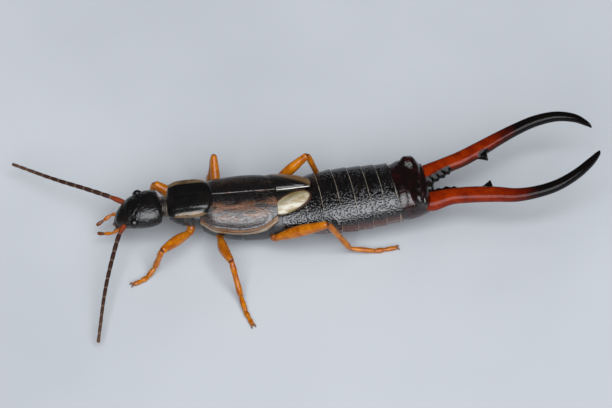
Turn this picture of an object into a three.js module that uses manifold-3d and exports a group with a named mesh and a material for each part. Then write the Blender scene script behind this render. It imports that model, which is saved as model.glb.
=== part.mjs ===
// A male earwig standing on its six feet, life size, in millimetres with +Z up and the floor at z = 0.
// The head points to -X, the forceps to +X, and the animal's left side is -Y.
import * as THREE from "three";
import { mergeVertices } from "three/addons/utils/BufferGeometryUtils.js";
import Module from "manifold-3d";

const wasm = await Module();
wasm.setup();

// Space between neighbouring plates, and the thinner space at the smallest pieces.
const GAP = 0.14;
const FINE_GAP = 0.08;

const UP = new THREE.Vector3(0, 0, 1);
const LEFT = -1;
const RIGHT = 1;
const SIDES = { left: LEFT, right: RIGHT };

// Rows are x, y, z of a section's middle, then its half-width, its height above and its depth below.
const HEAD_ROWS = [
  [-9.06, -0.22, 1.5, 0.34, 0.24, 0.26],
  [-8.82, -0.22, 1.68, 0.54, 0.4, 0.44],
  [-8.45, -0.16, 1.85, 0.76, 0.51, 0.58],
  [-8.05, -0.08, 1.97, 0.91, 0.6, 0.7],
  [-7.6, 0.0, 2.04, 0.98, 0.62, 0.7],
  [-7.2, 0.06, 2.06, 0.92, 0.57, 0.63],
  [-6.96, 0.1, 2.06, 0.68, 0.43, 0.48],
];
const NECK_ROWS = [
  [-7.3, 0.08, 2.05, 0.42, 0.3, 0.36],
  [-6.6, 0.06, 2.06, 0.5, 0.36, 0.42],
  [-6.1, 0.04, 2.06, 0.6, 0.42, 0.5],
];
const PROTHORAX_ROWS = [
  [-6.56, 0.04, 2.04, 0.56, 0.36, 0.5],
  [-6.3, 0.03, 2.0, 0.72, 0.46, 0.66],
  [-5.7, 0.02, 1.9, 0.86, 0.56, 0.8],
  [-5.0, 0.0, 1.8, 0.96, 0.62, 0.9],
];
const PRONOTUM_ROWS = [
  [-6.64, 0.04, 2.52, 0.74, 0.14, 0.26],
  [-6.52, 0.04, 2.54, 0.98, 0.24, 0.34],
  [-6.1, 0.03, 2.58, 1.08, 0.33, 0.38],
  [-5.5, 0.02, 2.6, 1.12, 0.39, 0.4],
  [-5.0, 0.01, 2.62, 1.04, 0.39, 0.4],
  [-4.6, 0.0, 2.64, 0.78, 0.34, 0.36],
  [-4.38, 0.0, 2.66, 0.36, 0.26, 0.3],
];
const THORAX_ROWS = [
  [-4.86, 0.0, 1.7, 0.94, 0.6, 0.9],
  [-4.5, -0.02, 1.6, 1.14, 0.84, 1.08],
  [-3.8, -0.04, 1.5, 1.34, 0.94, 1.18],
  [-2.8, -0.05, 1.44, 1.46, 0.96, 1.22],
  [-1.8, -0.04, 1.46, 1.47, 0.9, 1.18],
  [-1.2, -0.02, 1.5, 1.42, 0.84, 1.1],
];
const ELYTRA_ROWS = [
  [-5.1, -0.05, 2.04, 0.95, 0.72, 0.3],
  [-4.86, -0.06, 1.98, 1.25, 0.86, 0.3],
  [-4.3, -0.07, 1.92, 1.46, 0.95, 0.3],
  [-3.2, -0.08, 1.88, 1.59, 0.99, 0.3],
  [-2.2, -0.07, 1.88, 1.55, 0.98, 0.3],
  [-1.45, -0.06, 1.89, 1.4, 0.96, 0.3],
];
const WING_ROWS = [
  [-2.0, 0.66, 2.52, 0.58, 0.2, 0.24],
  [-1.4, 0.64, 2.55, 0.6, 0.21, 0.24],
  [-0.9, 0.58, 2.58, 0.55, 0.21, 0.24],
  [-0.4, 0.48, 2.62, 0.45, 0.19, 0.22],
  [-0.02, 0.36, 2.65, 0.33, 0.16, 0.2],
  [0.2, 0.25, 2.66, 0.2, 0.11, 0.16],
];

const WING_TILT = 0.35;
// The line between the left and the right wing, and the veins' places across each wing.
const WING_LINE = 0.1;
const WING_VEINS = { shares: [-0.55, 0, 0.55], radius: 0.05 };
// The height at which the elytra end at their outer edges.
const ELYTRA_EDGE = 1.72;

// The abdomen's middle line, its outline, and the rear edges of its tergites along x.
const ABDOMEN_ROWS = [
  [-1.06, 0.0, 1.52, 1.4, 0.72, 1.06],
  [0.0, 0.0, 1.62, 1.58, 0.84, 1.06],
  [1.0, 0.04, 1.7, 1.7, 1.0, 1.12],
  [2.0, 0.09, 1.74, 1.72, 1.08, 1.18],
  [3.0, 0.15, 1.8, 1.67, 1.08, 1.16],
  [4.14, 0.23, 1.9, 1.57, 1.04, 1.11],
];
const TERGITE_EDGES = [-0.12, 0.64, 1.4, 2.16, 2.87, 3.52, 4.14];
const TERGITE_STEP = 0.06;
// How far the rings lean back on the left side, and how far their tops reach back.
const RING_LEAN = 0.085;
const RING_BULGE = 0.1;
// Folds on the flanks of the second and third visible rings.
const FLANK_FOLDS = { places: [0.3, 1.06], radius: 0.2, out: 1.5, z: 1.95 };
const LAST_TERGITE_ROWS = [
  [3.8, 0.2, 1.88, 1.42, 0.94, 1.0],
  [4.3, 0.24, 1.9, 1.53, 1.02, 1.08],
  [4.8, 0.28, 1.93, 1.54, 1.0, 1.08],
  [5.3, 0.32, 1.96, 1.48, 0.9, 0.98],
  [5.7, 0.35, 1.98, 1.34, 0.68, 0.8],
  [5.86, 0.36, 2.0, 1.22, 0.5, 0.64],
];
const TUBERCLE = { x: 5.27, y: 0.98, middle: 0.3, z: 2.62, radius: 0.34, lean: 0.2 };
const PYGIDIUM_ROWS = [
  [5.7, 0.25, 1.98, 0.24, 0.3, 0.32],
  [5.98, 0.24, 2.02, 0.22, 0.26, 0.3],
  [6.24, 0.24, 2.02, 0.14, 0.16, 0.2],
];

// Forceps: rows along their axis of the middle line of the right and left arm, with half sizes.
const FORCEPS_ROOT = new THREE.Vector3(5.8, 0.2, 2.08);
const FORCEPS_YAW = THREE.MathUtils.degToRad(9.3);
const FORCEPS_PITCH = THREE.MathUtils.degToRad(8.5);
const FORCEPS_ROWS = [
  [-0.45, 0.66, -0.66, 0.42, 0.36],
  [0.1, 0.74, -0.8, 0.5, 0.38],
  [1.0, 0.98, -0.86, 0.4, 0.34],
  [2.0, 1.12, -1.1, 0.4, 0.31],
  [3.0, 1.38, -1.44, 0.38, 0.29],
  [4.0, 1.68, -1.84, 0.33, 0.27],
  [5.0, 1.94, -1.99, 0.29, 0.25],
  [6.0, 2.1, -1.94, 0.27, 0.24],
  [7.0, 2.02, -1.63, 0.25, 0.23],
  [7.8, 1.64, -1.2, 0.22, 0.2],
  [8.3, 1.1, -0.84, 0.14, 0.14],
  [8.46, 0.78, -0.66, 0.05, 0.05],
];
const CRENULATION = { count: 5, from: 0.15, to: 1.15, radius: 0.13, sunk: 0.04 };
const TOOTH = { right: 3.02, left: 2.76, length: 0.62, sunk: 0.25, root: 0.24, tip: 0.05, hook: 0.12 };

const EYE = { radius: 0.23, long: 1.2, right: [-8.02, 0.78, 2.18], left: [-8.26, -0.84, 2.02] };

// Grooves on the crown of the head and along the middle of the pronotum.
const GROOVE_RADIUS = 0.06;
const CROWN_GROOVES = [
  [[-6.9, 0.1, 2.5], [-7.3, 0.07, 2.66], [-7.75, 0.02, 2.69]],
  [[-7.75, 0.02, 2.69], [-8.0, 0.28, 2.6], [-8.25, 0.52, 2.42]],
  [[-7.75, 0.02, 2.69], [-8.0, -0.26, 2.6], [-8.2, -0.56, 2.42]],
];
const PRONOTUM_GROOVE = [[-6.5, 0.04, 2.8], [-5.6, 0.02, 3.0], [-4.6, 0.0, 3.0]];

// Feelers: the middle line of each from its socket, its bead count and its radii.
const FEELER_BEADS = 12;
const FEELER_SCAPE = 1 / 8;
const FEELER_JOINT = 0.72;
const FEELER_RADIUS = { scape: 0.24, root: 0.2, tip: 0.13 };
const FEELERS = {
  left: [
    [-8.42, -0.42, 1.82],
    [-8.93, -1.04, 1.72],
    [-9.38, -2.3, 1.42],
    [-9.86, -4.1, 1.0],
    [-10.31, -6.62, 0.5],
  ],
  right: [
    [-8.5, 0.5, 1.84],
    [-9.38, 0.99, 1.9],
    [-10.5, 1.62, 1.82],
    [-12.1, 2.62, 1.52],
    [-13.95, 4.04, 1.0],
  ],
};

// The mouth: the upper lip, and the jaws across from the mouth's middle line.
const LABRUM_ROWS = [
  [-8.86, -0.1, 1.4, 0.34, 0.16, 0.14],
  [-9.06, -0.12, 1.28, 0.32, 0.14, 0.12],
  [-9.2, -0.13, 1.14, 0.2, 0.1, 0.08],
];
const MOUTH_LINE = -0.12;
const MANDIBLE_ROWS = [
  [-8.7, 0.36, 1.36, 0.14, 0.16, 0.16],
  [-9.0, 0.34, 1.14, 0.13, 0.15, 0.15],
  [-9.22, 0.2, 0.98, 0.08, 0.09, 0.09],
];
const PALP_RADIUS = 0.16;
const PALPS = {
  maxillary_palp_right: [
    [-8.8, 0.26, 1.4],
    [-9.3, 0.42, 1.22],
    [-9.7, 0.26, 1.0],
    [-10.06, 0.1, 0.84],
  ],
  maxillary_palp_left: [
    [-8.82, -0.46, 1.32],
    [-9.3, -0.62, 1.1],
    [-9.7, -0.5, 0.94],
    [-10.03, -0.38, 0.84],
  ],
  labial_palp_right: [
    [-8.8, 0.06, 1.24],
    [-9.04, 0.14, 1.0],
    [-9.26, 0.1, 0.82],
  ],
  labial_palp_left: [
    [-8.8, -0.26, 1.22],
    [-9.04, -0.36, 1.0],
    [-9.26, -0.32, 0.82],
  ],
};

// Legs: the joints from the body to the claws, in order coxa, trochanter, knee, heel, the ends of
// the three tarsal segments, with the femur's half-thickness.
const LEGS = {
  front_left_leg: {
    joints: [
      [-5.5, -0.4, 1.3],
      [-5.6, -0.84, 1.06],
      [-7.04, -2.33, 1.7],
      [-7.4, -2.32, 0.42],
      [-7.78, -2.64, 0.15],
      [-8.06, -2.84, 0.14],
      [-8.46, -3.0, 0.14],
    ],
    femur: 0.3,
  },
  front_right_leg: {
    joints: [
      [-5.5, 0.4, 1.3],
      [-5.62, 0.86, 1.06],
      [-7.19, 1.62, 1.86],
      [-7.4, 1.76, 0.42],
      [-7.78, 1.7, 0.15],
      [-8.02, 1.66, 0.14],
      [-8.36, 1.58, 0.14],
    ],
    femur: 0.3,
  },
  middle_left_leg: {
    joints: [
      [-4.2, -0.5, 1.0],
      [-4.22, -1.2, 1.04],
      [-3.78, -3.2, 1.7],
      [-3.42, -4.3, 0.36],
      [-3.24, -5.06, 0.15],
      [-3.14, -5.36, 0.14],
      [-2.97, -5.82, 0.14],
    ],
    femur: 0.29,
  },
  middle_right_leg: {
    joints: [
      [-4.2, 0.5, 1.0],
      [-4.22, 1.2, 1.04],
      [-4.24, 2.83, 2.3],
      [-4.5, 2.5, 0.4],
      [-4.5, 3.1, 0.15],
      [-4.42, 3.36, 0.14],
      [-4.28, 3.72, 0.14],
    ],
    femur: 0.29,
  },
  hind_left_leg: {
    joints: [
      [-1.5, -0.8, 0.8],
      [-1.66, -1.55, 1.14],
      [0.9, -2.18, 2.8],
      [1.98, -1.84, 0.38],
      [3.2, -1.88, 0.15],
      [3.6, -1.84, 0.14],
      [4.2, -1.76, 0.14],
    ],
    femur: 0.31,
  },
  hind_right_leg: {
    joints: [
      [-1.6, 0.9, 0.8],
      [-1.56, 1.55, 1.2],
      [0.23, 2.09, 2.8],
      [0.9, 2.36, 0.38],
      [1.9, 2.74, 0.15],
      [2.22, 2.84, 0.14],
      [2.7, 3.0, 0.14],
    ],
    femur: 0.31,
  },
};
const LEG_RADIUS = { coxa: 0.28, trochanter: 0.26, tibia: 0.23, heel: 0.2, tarsus: 0.19, claw: 0.1 };
const CLAW = { length: 0.3, spread: 0.16, tip: 0.05, tipHeight: 0.07, sunk: 0.08 };

// Shares of a radius along a thigh, a shin, a tarsal segment and a palp's segment.
const THIGH_SHARES = [0.72, 0.95, 1, 0.92, 0.74];
const TARSUS_SHARES = [0.82, 1, 0.95];
const MIDDLE_TARSUS = 1.15;
const PALP_SHARES = [0.75, 1, 1.05, 0.8];
const PALP_THINNING = 0.12;

// Larger than the animal in every direction.
const REACH = 30;

// Colours.
const BLACK = 0x14110f;
const DARK_RED = 0x2a0d08;
const WING_BROWN = 0x4a3423;
const IVORY = 0xd8cda4;
const AMBER = 0xc98024;
const FEELER_BROWN = 0x5a3420;
const RED = 0x8e2b12;
const NECK_TAN = 0x6b6152;

// A closed solid swept along a curve. sizeAt(t) gives the half-width, height and depth of the
// section at t, where t runs through stops, and square rounds the section more or less. slant moves
// a place on the section forward along the curve.
function sweep(curve, sizeAt, options) {
  const { stops, sides = 12, square = 2, grow = 0, upright = UP, slant = () => 0 } = options;
  const rings = stops.length - 1;
  const geometry = new THREE.CylinderGeometry(1, 1, rings, sides, rings);
  const position = geometry.attributes.position;
  const vertex = new THREE.Vector3();
  for (let i = 0; i < position.count; i += 1) {
    vertex.fromBufferAttribute(position, i);
    const t = stops[Math.round(rings / 2 - vertex.y)];
    const tangent = curve.getTangent(t);
    const side = new THREE.Vector3().crossVectors(upright, tangent).normalize();
    const rise = new THREE.Vector3().crossVectors(tangent, side);
    const [width, height, depth] = sizeAt(t).map((size) => size + grow);
    const across = Math.sign(vertex.x) * Math.abs(vertex.x) ** (2 / square) * width;
    const above = Math.sign(vertex.z) * Math.abs(vertex.z) ** (2 / square);
    const end = t === stops[0] ? -grow : t === stops[rings] ? grow : 0;
    const forward = end + slant(across, above);
    const place = curve.getPoint(t);
    place.addScaledVector(side, across);
    place.addScaledVector(rise, above * (above > 0 ? height : depth));
    place.addScaledVector(tangent, forward);
    position.setXYZ(i, place.x, place.y, place.z);
  }
  return solidOf(geometry);
}

function evenStops(count) {
  return Array.from({ length: count + 1 }, (_, i) => i / count);
}

function curveOf(points) {
  return new THREE.CatmullRomCurve3(points.map((point) => new THREE.Vector3(...point)));
}

// A closed solid through rows of sections.
function loft(rows, options = {}) {
  const middle = curveOf(rows.map((row) => row.slice(0, 3)));
  const size = curveOf(rows.map((row) => row.slice(3, 6)));
  const stops = evenStops((options.steps ?? 2) * (rows.length - 1));
  return sweep(middle, (t) => size.getPoint(t).toArray(), { stops, ...options });
}

// A round limb segment between two joints, with its radius given at even places along it.
function limb(from, to, radii, options = {}) {
  const curve = new THREE.LineCurve3(new THREE.Vector3(...from), new THREE.Vector3(...to));
  const radius = curveOf(radii.map((value) => [value, 0, 0]));
  const sizeAt = (t) => {
    const value = radius.getPoint(t).x;
    return [value, value, value];
  };
  const stops = evenStops(radii.length - 1);
  const alongUp = Math.abs(to[2] - from[2]) > Math.hypot(to[0] - from[0], to[1] - from[1]);
  const upright = alongUp ? new THREE.Vector3(1, 0, 0) : UP;
  return sweep(curve, sizeAt, { stops, sides: 7, upright, ...options });
}

function ball(centre, radius, stretch = [1, 1, 1], sides = 8) {
  const geometry = new THREE.SphereGeometry(radius, sides, sides * 0.75);
  geometry.scale(...stretch);
  geometry.translate(...centre);
  return solidOf(geometry);
}

function block(low, high) {
  const size = high.map((value, axis) => value - low[axis]);
  const geometry = new THREE.BoxGeometry(...size);
  geometry.translate(...low.map((value, axis) => value + size[axis] / 2));
  return solidOf(geometry);
}

function solidOf(geometry) {
  geometry.deleteAttribute("normal");
  geometry.deleteAttribute("uv");
  const merged = mergeVertices(geometry, 1e-5);
  return new wasm.Manifold(
    new wasm.Mesh({
      numProp: 3,
      vertProperties: merged.attributes.position.array,
      triVerts: new Uint32Array(merged.index.array),
    }),
  );
}

function union(solids) {
  return solids.reduce((whole, solid) => whole.add(solid));
}

function cut(solid, tools) {
  return tools.reduce((rest, tool) => rest.subtract(tool), solid);
}

function largest(solid) {
  return solid.decompose().reduce((best, piece) => (piece.volume() > best.volume() ? piece : best));
}

// A thin round bar along a few places, which a groove is cut with.
function bar(points, radius) {
  const stops = evenStops(points.length - 1);
  return sweep(curveOf(points), () => [radius, radius, radius], { stops, sides: 6 });
}

const head = (grow = 0) => loft(HEAD_ROWS, { sides: 20, grow, square: 2.15 });
const neck = (grow = 0) => loft(NECK_ROWS, { sides: 14, grow });
const prothorax = (grow = 0) => loft(PROTHORAX_ROWS, { sides: 20, grow });
const pronotum = (grow = 0) => loft(PRONOTUM_ROWS, { sides: 24, grow, square: 2.3 });
const thorax = (grow = 0) => loft(THORAX_ROWS, { sides: 24, grow, square: 2.2 });
const elytra = (grow = 0) => loft(ELYTRA_ROWS, { sides: 26, grow, square: 2.6 });
const pygidium = () => loft(PYGIDIUM_ROWS, { sides: 12, square: 2.4 });

// The last tergite with its two raised corners over the forceps.
function lastTergite(grow = 0) {
  const { x, y, z, middle, radius, lean } = TUBERCLE;
  const bumps = [LEFT, RIGHT].map((side) =>
    ball([x - side * lean * y, middle + side * y, z], radius + grow, [1, 0.9, 0.9], 12),
  );
  return union([loft(LAST_TERGITE_ROWS, { sides: 24, grow, square: 2.3 }), ...bumps]);
}

// The abdomen, whose tergites each widen to the rear and step in to the next.
function abdomen(grow = 0) {
  const middle = curveOf(ABDOMEN_ROWS.map((row) => row.slice(0, 3)));
  const size = curveOf(ABDOMEN_ROWS.map((row) => row.slice(3, 6)));
  const edges = TERGITE_EDGES.slice(0, -1).map((x) => solveAlong(middle, x));
  const rise = 0.012;
  const lip = 0.004;
  const stops = [0, ...edges.flatMap((edge) => [edge - rise, edge, edge + lip]), 1 - rise, 1];
  const sizeAt = (t) => {
    const next = edges.find((edge) => t <= edge) ?? 1;
    const raised = next - t <= rise ? TERGITE_STEP : 0;
    return size.getPoint(t).toArray().map((value) => value + raised - TERGITE_STEP);
  };
  const slant = (across, above) => RING_BULGE * Math.max(above, 0) - RING_LEAN * across;
  return sweep(middle, sizeAt, { stops, sides: 28, grow, square: 2.2, slant });
}

// The low folds on one flank of the abdomen.
function flankFolds(side) {
  const { places, radius, out, z } = FLANK_FOLDS;
  return places.map((x) => ball([x, side * out, z], radius, [1.1, 0.9, 1.1]));
}

function wing(side, grow = 0) {
  const rows = WING_ROWS.map(([x, y, ...rest]) => [x, WING_LINE + side * y, ...rest]);
  const upright = new THREE.Vector3(0, side * WING_TILT, 1);
  return loft(rows, { sides: 16, grow, square: 2.3, upright, steps: 1 });
}

// The main veins of a folded wing, as ridges along its top.
function wingVeins(side) {
  return WING_VEINS.shares.map((share) => {
    const arch = Math.sqrt(1 - share ** 2);
    const points = WING_ROWS.map(([x, y, z, width, height]) => [
      x,
      WING_LINE + side * (y + share * width),
      z + arch * height - side * WING_TILT * side * share * width,
    ]);
    return bar(points, WING_VEINS.radius);
  });
}

// A place in the plane of the forceps, given along and across their axis and above their plane.
function forcepsPlace(along, across, above = 0) {
  const frame = new THREE.Matrix4()
    .makeRotationZ(FORCEPS_YAW)
    .multiply(new THREE.Matrix4().makeRotationY(-FORCEPS_PITCH));
  return new THREE.Vector3(along, across, above).applyMatrix4(frame).add(FORCEPS_ROOT);
}

function forcepsArm(side, grow = 0) {
  const column = side === RIGHT ? 1 : 2;
  const places = FORCEPS_ROWS.map((row) => forcepsPlace(row[0], row[column]));
  const size = curveOf(FORCEPS_ROWS.map((row) => [row[3], row[4], row[4]]));
  const stops = evenStops(2 * (FORCEPS_ROWS.length - 1));
  const upright = forcepsPlace(0, 0, 1).sub(FORCEPS_ROOT);
  const options = { stops, sides: 12, upright, grow, square: 2.5 };
  const arm = sweep(new THREE.CatmullRomCurve3(places), (t) => size.getPoint(t).toArray(), options);
  const middle = curveOf(FORCEPS_ROWS.map((row) => [row[0], row[column], row[3]]));
  const inner = (along) => {
    const row = middle.getPoint(solveAlong(middle, along));
    return row.y - side * row.z;
  };
  const { count, from, to, radius, sunk } = CRENULATION;
  const knobs = Array.from({ length: count }, (_, i) => {
    const along = THREE.MathUtils.lerp(from, to, i / (count - 1));
    return ball(forcepsPlace(along, inner(along) + side * sunk).toArray(), radius + grow, [1, 1, 1], 6);
  });
  const at = side === RIGHT ? TOOTH.right : TOOTH.left;
  const rootAcross = inner(at) + side * TOOTH.sunk;
  const root = forcepsPlace(at - TOOTH.hook, rootAcross).toArray();
  const tip = forcepsPlace(at + TOOTH.hook, rootAcross - side * TOOTH.length).toArray();
  const tooth = limb(root, tip, [TOOTH.root + grow, TOOTH.root / 2 + grow, TOOTH.tip + grow]);
  return union([arm, ...knobs, tooth]);
}

// The t at which a curve's x reaches a value, for a curve whose x always grows.
function solveAlong(curve, x) {
  let low = 0;
  let high = 1;
  for (let step = 0; step < 24; step += 1) {
    const t = (low + high) / 2;
    if (curve.getPoint(t).x < x) low = t;
    else high = t;
  }
  return low;
}

// A feeler: a thick first segment, then beads that thin out to the tip.
function feeler(name, grow = 0) {
  const bead = (1 - FEELER_SCAPE) / FEELER_BEADS;
  const stops = [0, FEELER_SCAPE / 2, FEELER_SCAPE];
  const narrow = new Set([FEELER_SCAPE]);
  for (let i = 1; i <= FEELER_BEADS; i += 1) {
    const end = FEELER_SCAPE + i * bead;
    stops.push(end - bead * 0.7, end - bead * 0.25, end);
    narrow.add(end);
  }
  const sizeAt = (t) => {
    const reach = Math.max(0, t - FEELER_SCAPE) / (1 - FEELER_SCAPE);
    const full = THREE.MathUtils.lerp(FEELER_RADIUS.root, FEELER_RADIUS.tip, reach);
    const radius = t < FEELER_SCAPE ? FEELER_RADIUS.scape : full * (narrow.has(t) ? FEELER_JOINT : 1);
    return [radius, radius, radius];
  };
  return sweep(curveOf(FEELERS[name]), sizeAt, { stops, sides: 7, grow });
}

function palp(name) {
  const places = PALPS[name];
  const pieces = places.slice(1).map((place, i) => {
    const thin = 1 - PALP_THINNING * i;
    const radii = PALP_SHARES.map((share) => share * thin * PALP_RADIUS);
    return limb(overlapped(place, places[i], FINE_GAP), place, radii, { sides: 7 });
  });
  return union(pieces);
}

// The point before a segment's start by a little, so that segments sink into one another.
function overlapped(end, start, distance) {
  const from = new THREE.Vector3(...start);
  const back = new THREE.Vector3(...end).sub(from).normalize().multiplyScalar(-distance);
  return from.add(back).toArray();
}

// One leg, joined from its segments, with flats where its foot stands on the floor.
function leg({ joints, femur }) {
  const [coxa, trochanter, knee, heel, ...toes] = joints;
  const { coxa: hip, trochanter: ring, tibia, heel: ankle, tarsus } = LEG_RADIUS;
  const pieces = [
    limb(coxa, trochanter, [hip, hip, ring]),
    ball(trochanter, ring, [1, 1, 1], 6),
    limb(trochanter, knee, THIGH_SHARES.map((share) => share * femur)),
    ball(knee, tibia, [1, 1, 1], 6),
    limb(knee, heel, [tibia, tibia, ankle]),
  ];
  const starts = [heel, ...toes];
  toes.forEach((toe, i) => {
    const wide = i === 1 ? MIDDLE_TARSUS : 1;
    const radii = TARSUS_SHARES.map((share) => share * wide * tarsus);
    pieces.push(limb(overlapped(toe, starts[i], FINE_GAP), toe, radii));
  });
  pieces.push(...claws(toes.at(-2), toes.at(-1)));
  const floor = block([-REACH, -REACH, -REACH], [REACH, REACH, 0]);
  return cut(union(pieces), [floor, prothorax(GAP), thorax(GAP), abdomen(GAP), elytra(GAP)]);
}

// Two claws that curve apart and down from the end of the last tarsal segment.
function claws(before, end) {
  const ahead = new THREE.Vector3(...end).sub(new THREE.Vector3(...before)).setZ(0).normalize();
  const across = new THREE.Vector3().crossVectors(UP, ahead);
  return [LEFT, RIGHT].map((side) => {
    const root = new THREE.Vector3(...end).addScaledVector(ahead, -CLAW.sunk);
    const tip = root.clone().addScaledVector(ahead, CLAW.length);
    tip.addScaledVector(across, side * CLAW.spread).setZ(CLAW.tipHeight);
    return limb(root.toArray(), tip.toArray(), [LEG_RADIUS.claw, CLAW.tip], { sides: 6 });
  });
}

function eye(side) {
  return ball(side === LEFT ? EYE.left : EYE.right, EYE.radius, [1, 1, EYE.long], 12);
}

// An ellipsoid socket a little larger than the eye.
function socket(side) {
  const centre = side === LEFT ? EYE.left : EYE.right;
  return ball(centre, EYE.radius + FINE_GAP, [1, 1, EYE.long], 12);
}

const labrum = (grow = 0) => loft(LABRUM_ROWS, { sides: 12, grow });

// A jaw, whose rows are given across from the mouth's middle line.
function mandible(side, grow = 0) {
  const rows = MANDIBLE_ROWS.map(([x, y, ...rest]) => [x, MOUTH_LINE + side * y, ...rest]);
  return loft(rows, { sides: 10, grow });
}

const root = new THREE.Group();

function addNode(name, solid, color, roughness = 0.35) {
  const made = largest(solid).getMesh();
  const geometry = new THREE.BufferGeometry();
  geometry.setAttribute("position", new THREE.BufferAttribute(made.vertProperties, 3));
  geometry.setIndex(new THREE.BufferAttribute(made.triVerts, 1));
  geometry.computeVertexNormals();
  const material = new THREE.MeshStandardMaterial({ color, roughness, metalness: 0 });
  const mesh = new THREE.Mesh(geometry, material);
  mesh.name = name;
  root.add(mesh);
}

// Everything on one side of the line between the wings, less half of the gap there.
function halfSpace(side) {
  const line = WING_LINE / 2;
  const low = side === LEFT ? -REACH : line + GAP / 2;
  const high = side === LEFT ? line - GAP / 2 : REACH;
  return block([-REACH, low, -REACH], [REACH, high, REACH]);
}

const aboveElytraEdge = block([-REACH, -REACH, ELYTRA_EDGE], [REACH, REACH, REACH]);
const crownGrooves = CROWN_GROOVES.map((points) => bar(points, GROOVE_RADIUS));
const pronotumGroove = bar(PRONOTUM_GROOVE, GROOVE_RADIUS);
const sockets = [socket(LEFT), socket(RIGHT), feeler("left", FINE_GAP), feeler("right", FINE_GAP)];
const jaws = [mandible(LEFT, FINE_GAP), mandible(RIGHT, FINE_GAP)];
const arms = [forcepsArm(LEFT, GAP), forcepsArm(RIGHT, GAP)];
const folds = [...flankFolds(LEFT), ...flankFolds(RIGHT)];

addNode("head", cut(head(), [...sockets, ...crownGrooves]), BLACK);
addNode("neck", cut(neck(), [head(GAP), prothorax(GAP), pronotum(GAP)]), NECK_TAN, 0.6);
addNode("pronotum", cut(pronotum(), [prothorax(GAP), thorax(GAP), pronotumGroove]), BLACK);
addNode("prothorax", prothorax(), DARK_RED);
addNode("thorax", cut(thorax(), [prothorax(GAP)]), DARK_RED);
addNode("abdomen", cut(union([abdomen(), ...folds]), [thorax(GAP)]), BLACK);
addNode("last_tergite", cut(lastTergite(), [abdomen(GAP)]), DARK_RED, 0.25);
addNode("pygidium", cut(pygidium(), [lastTergite(GAP), ...arms]), DARK_RED, 0.25);
addNode("labrum", cut(labrum(), [head(FINE_GAP)]), DARK_RED);

for (const [name, side] of Object.entries(SIDES)) {
  const cover = elytra().intersect(halfSpace(side)).intersect(aboveElytraEdge);
  const underCover = [prothorax(GAP), thorax(GAP), pronotum(GAP), abdomen(GAP)];
  const folded = union([wing(side), ...wingVeins(side)]).intersect(halfSpace(side));
  addNode(`elytron_${name}`, cut(cover, underCover), WING_BROWN);
  addNode(`wing_${name}`, cut(folded, [elytra(GAP), thorax(GAP), abdomen(GAP)]), IVORY, 0.5);
  addNode(`eye_${name}`, cut(eye(side), [feeler(name, FINE_GAP)]), BLACK, 0.2);
  addNode(`antenna_${name}`, feeler(name), FEELER_BROWN, 0.5);
  addNode(`mandible_${name}`, cut(mandible(side), [head(FINE_GAP), labrum(FINE_GAP)]), DARK_RED);
  addNode(`forceps_${name}`, cut(forcepsArm(side), [lastTergite(GAP)]), RED, 0.2);
}
for (const name of Object.keys(PALPS)) {
  addNode(name, cut(palp(name), [head(FINE_GAP), labrum(FINE_GAP), ...jaws]), AMBER);
}
for (const [name, joints] of Object.entries(LEGS)) addNode(name, leg(joints), AMBER);

// The origin is under the middle of the whole, on the floor.
const box = new THREE.Box3().setFromObject(root);
const middle = box.getCenter(new THREE.Vector3());
root.position.set(-middle.x, -middle.y, -box.min.z);

export default root;
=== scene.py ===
"""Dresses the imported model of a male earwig: horn plates, forceps, legs, feelers, studio and camera.

All shapes are worked out in millimetres in the animal's own frame, with the floor at z = 0, the head
towards -X, the forceps towards +X and the animal's left side towards -Y. Each finished mesh is then
moved into the model's frame and turned into metres.
"""
import logging
import math
from collections.abc import Callable, Sequence
from dataclasses import dataclass, field
from enum import Enum

import bpy
import numpy as np
from mathutils import Matrix, Vector


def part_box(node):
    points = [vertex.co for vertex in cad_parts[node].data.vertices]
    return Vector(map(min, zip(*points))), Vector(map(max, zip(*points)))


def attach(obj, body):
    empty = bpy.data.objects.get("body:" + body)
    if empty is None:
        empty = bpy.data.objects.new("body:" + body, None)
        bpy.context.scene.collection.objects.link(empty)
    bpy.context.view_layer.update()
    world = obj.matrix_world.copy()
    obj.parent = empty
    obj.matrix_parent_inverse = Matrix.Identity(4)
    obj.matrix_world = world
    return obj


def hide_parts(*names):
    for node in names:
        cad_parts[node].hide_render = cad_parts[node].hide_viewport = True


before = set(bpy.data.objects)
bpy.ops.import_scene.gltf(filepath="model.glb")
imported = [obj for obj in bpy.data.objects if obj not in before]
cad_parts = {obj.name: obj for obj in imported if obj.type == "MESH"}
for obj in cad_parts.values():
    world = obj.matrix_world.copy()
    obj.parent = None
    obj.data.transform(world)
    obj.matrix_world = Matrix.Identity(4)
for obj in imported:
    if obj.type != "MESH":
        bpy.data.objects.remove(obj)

LOG = logging.getLogger("earwig")
ARRAY = np.ndarray
Relief = Callable[[ARRAY, ARRAY, ARRAY], ARRAY]
Rows = list[list[float]]
Pair = tuple[float, float]
Triple = tuple[float, float, float]
Piece = bpy.types.Object
Material = bpy.types.Material
Socket = bpy.types.NodeSocket
Value = float | Triple | Socket

# Metres in a millimetre
METRES = 0.001
# Vertices closer than this are merged, in millimetres
WELD_GAP = 1e-4
WALL_WELD_GAP = 1e-5
# Step along a middle line over which its direction is measured, as a share of its length
DIRECTION_STEP = 1e-3
# How deep light goes into horn in millimetres, and how much of each colour
LIGHT_DEPTH = 0.25
LIGHT_TINTS = (1.0, 0.45, 0.15)
# Hair length and root radius in millimetres
FEELER_HAIR = (0.11, 0.006)
LEG_HAIR = (0.12, 0.006)
# Lowest place of a foot over the floor, in millimetres
FLOOR_GAP = 0.002


class Side(Enum):
    """The two sides of the animal, as the sign of Y."""

    LEFT = -1
    RIGHT = 1

    @property
    def word(self) -> str:
        """The side's name as node names spell it."""
        return self.name.lower()


# Curves and frames


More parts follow.
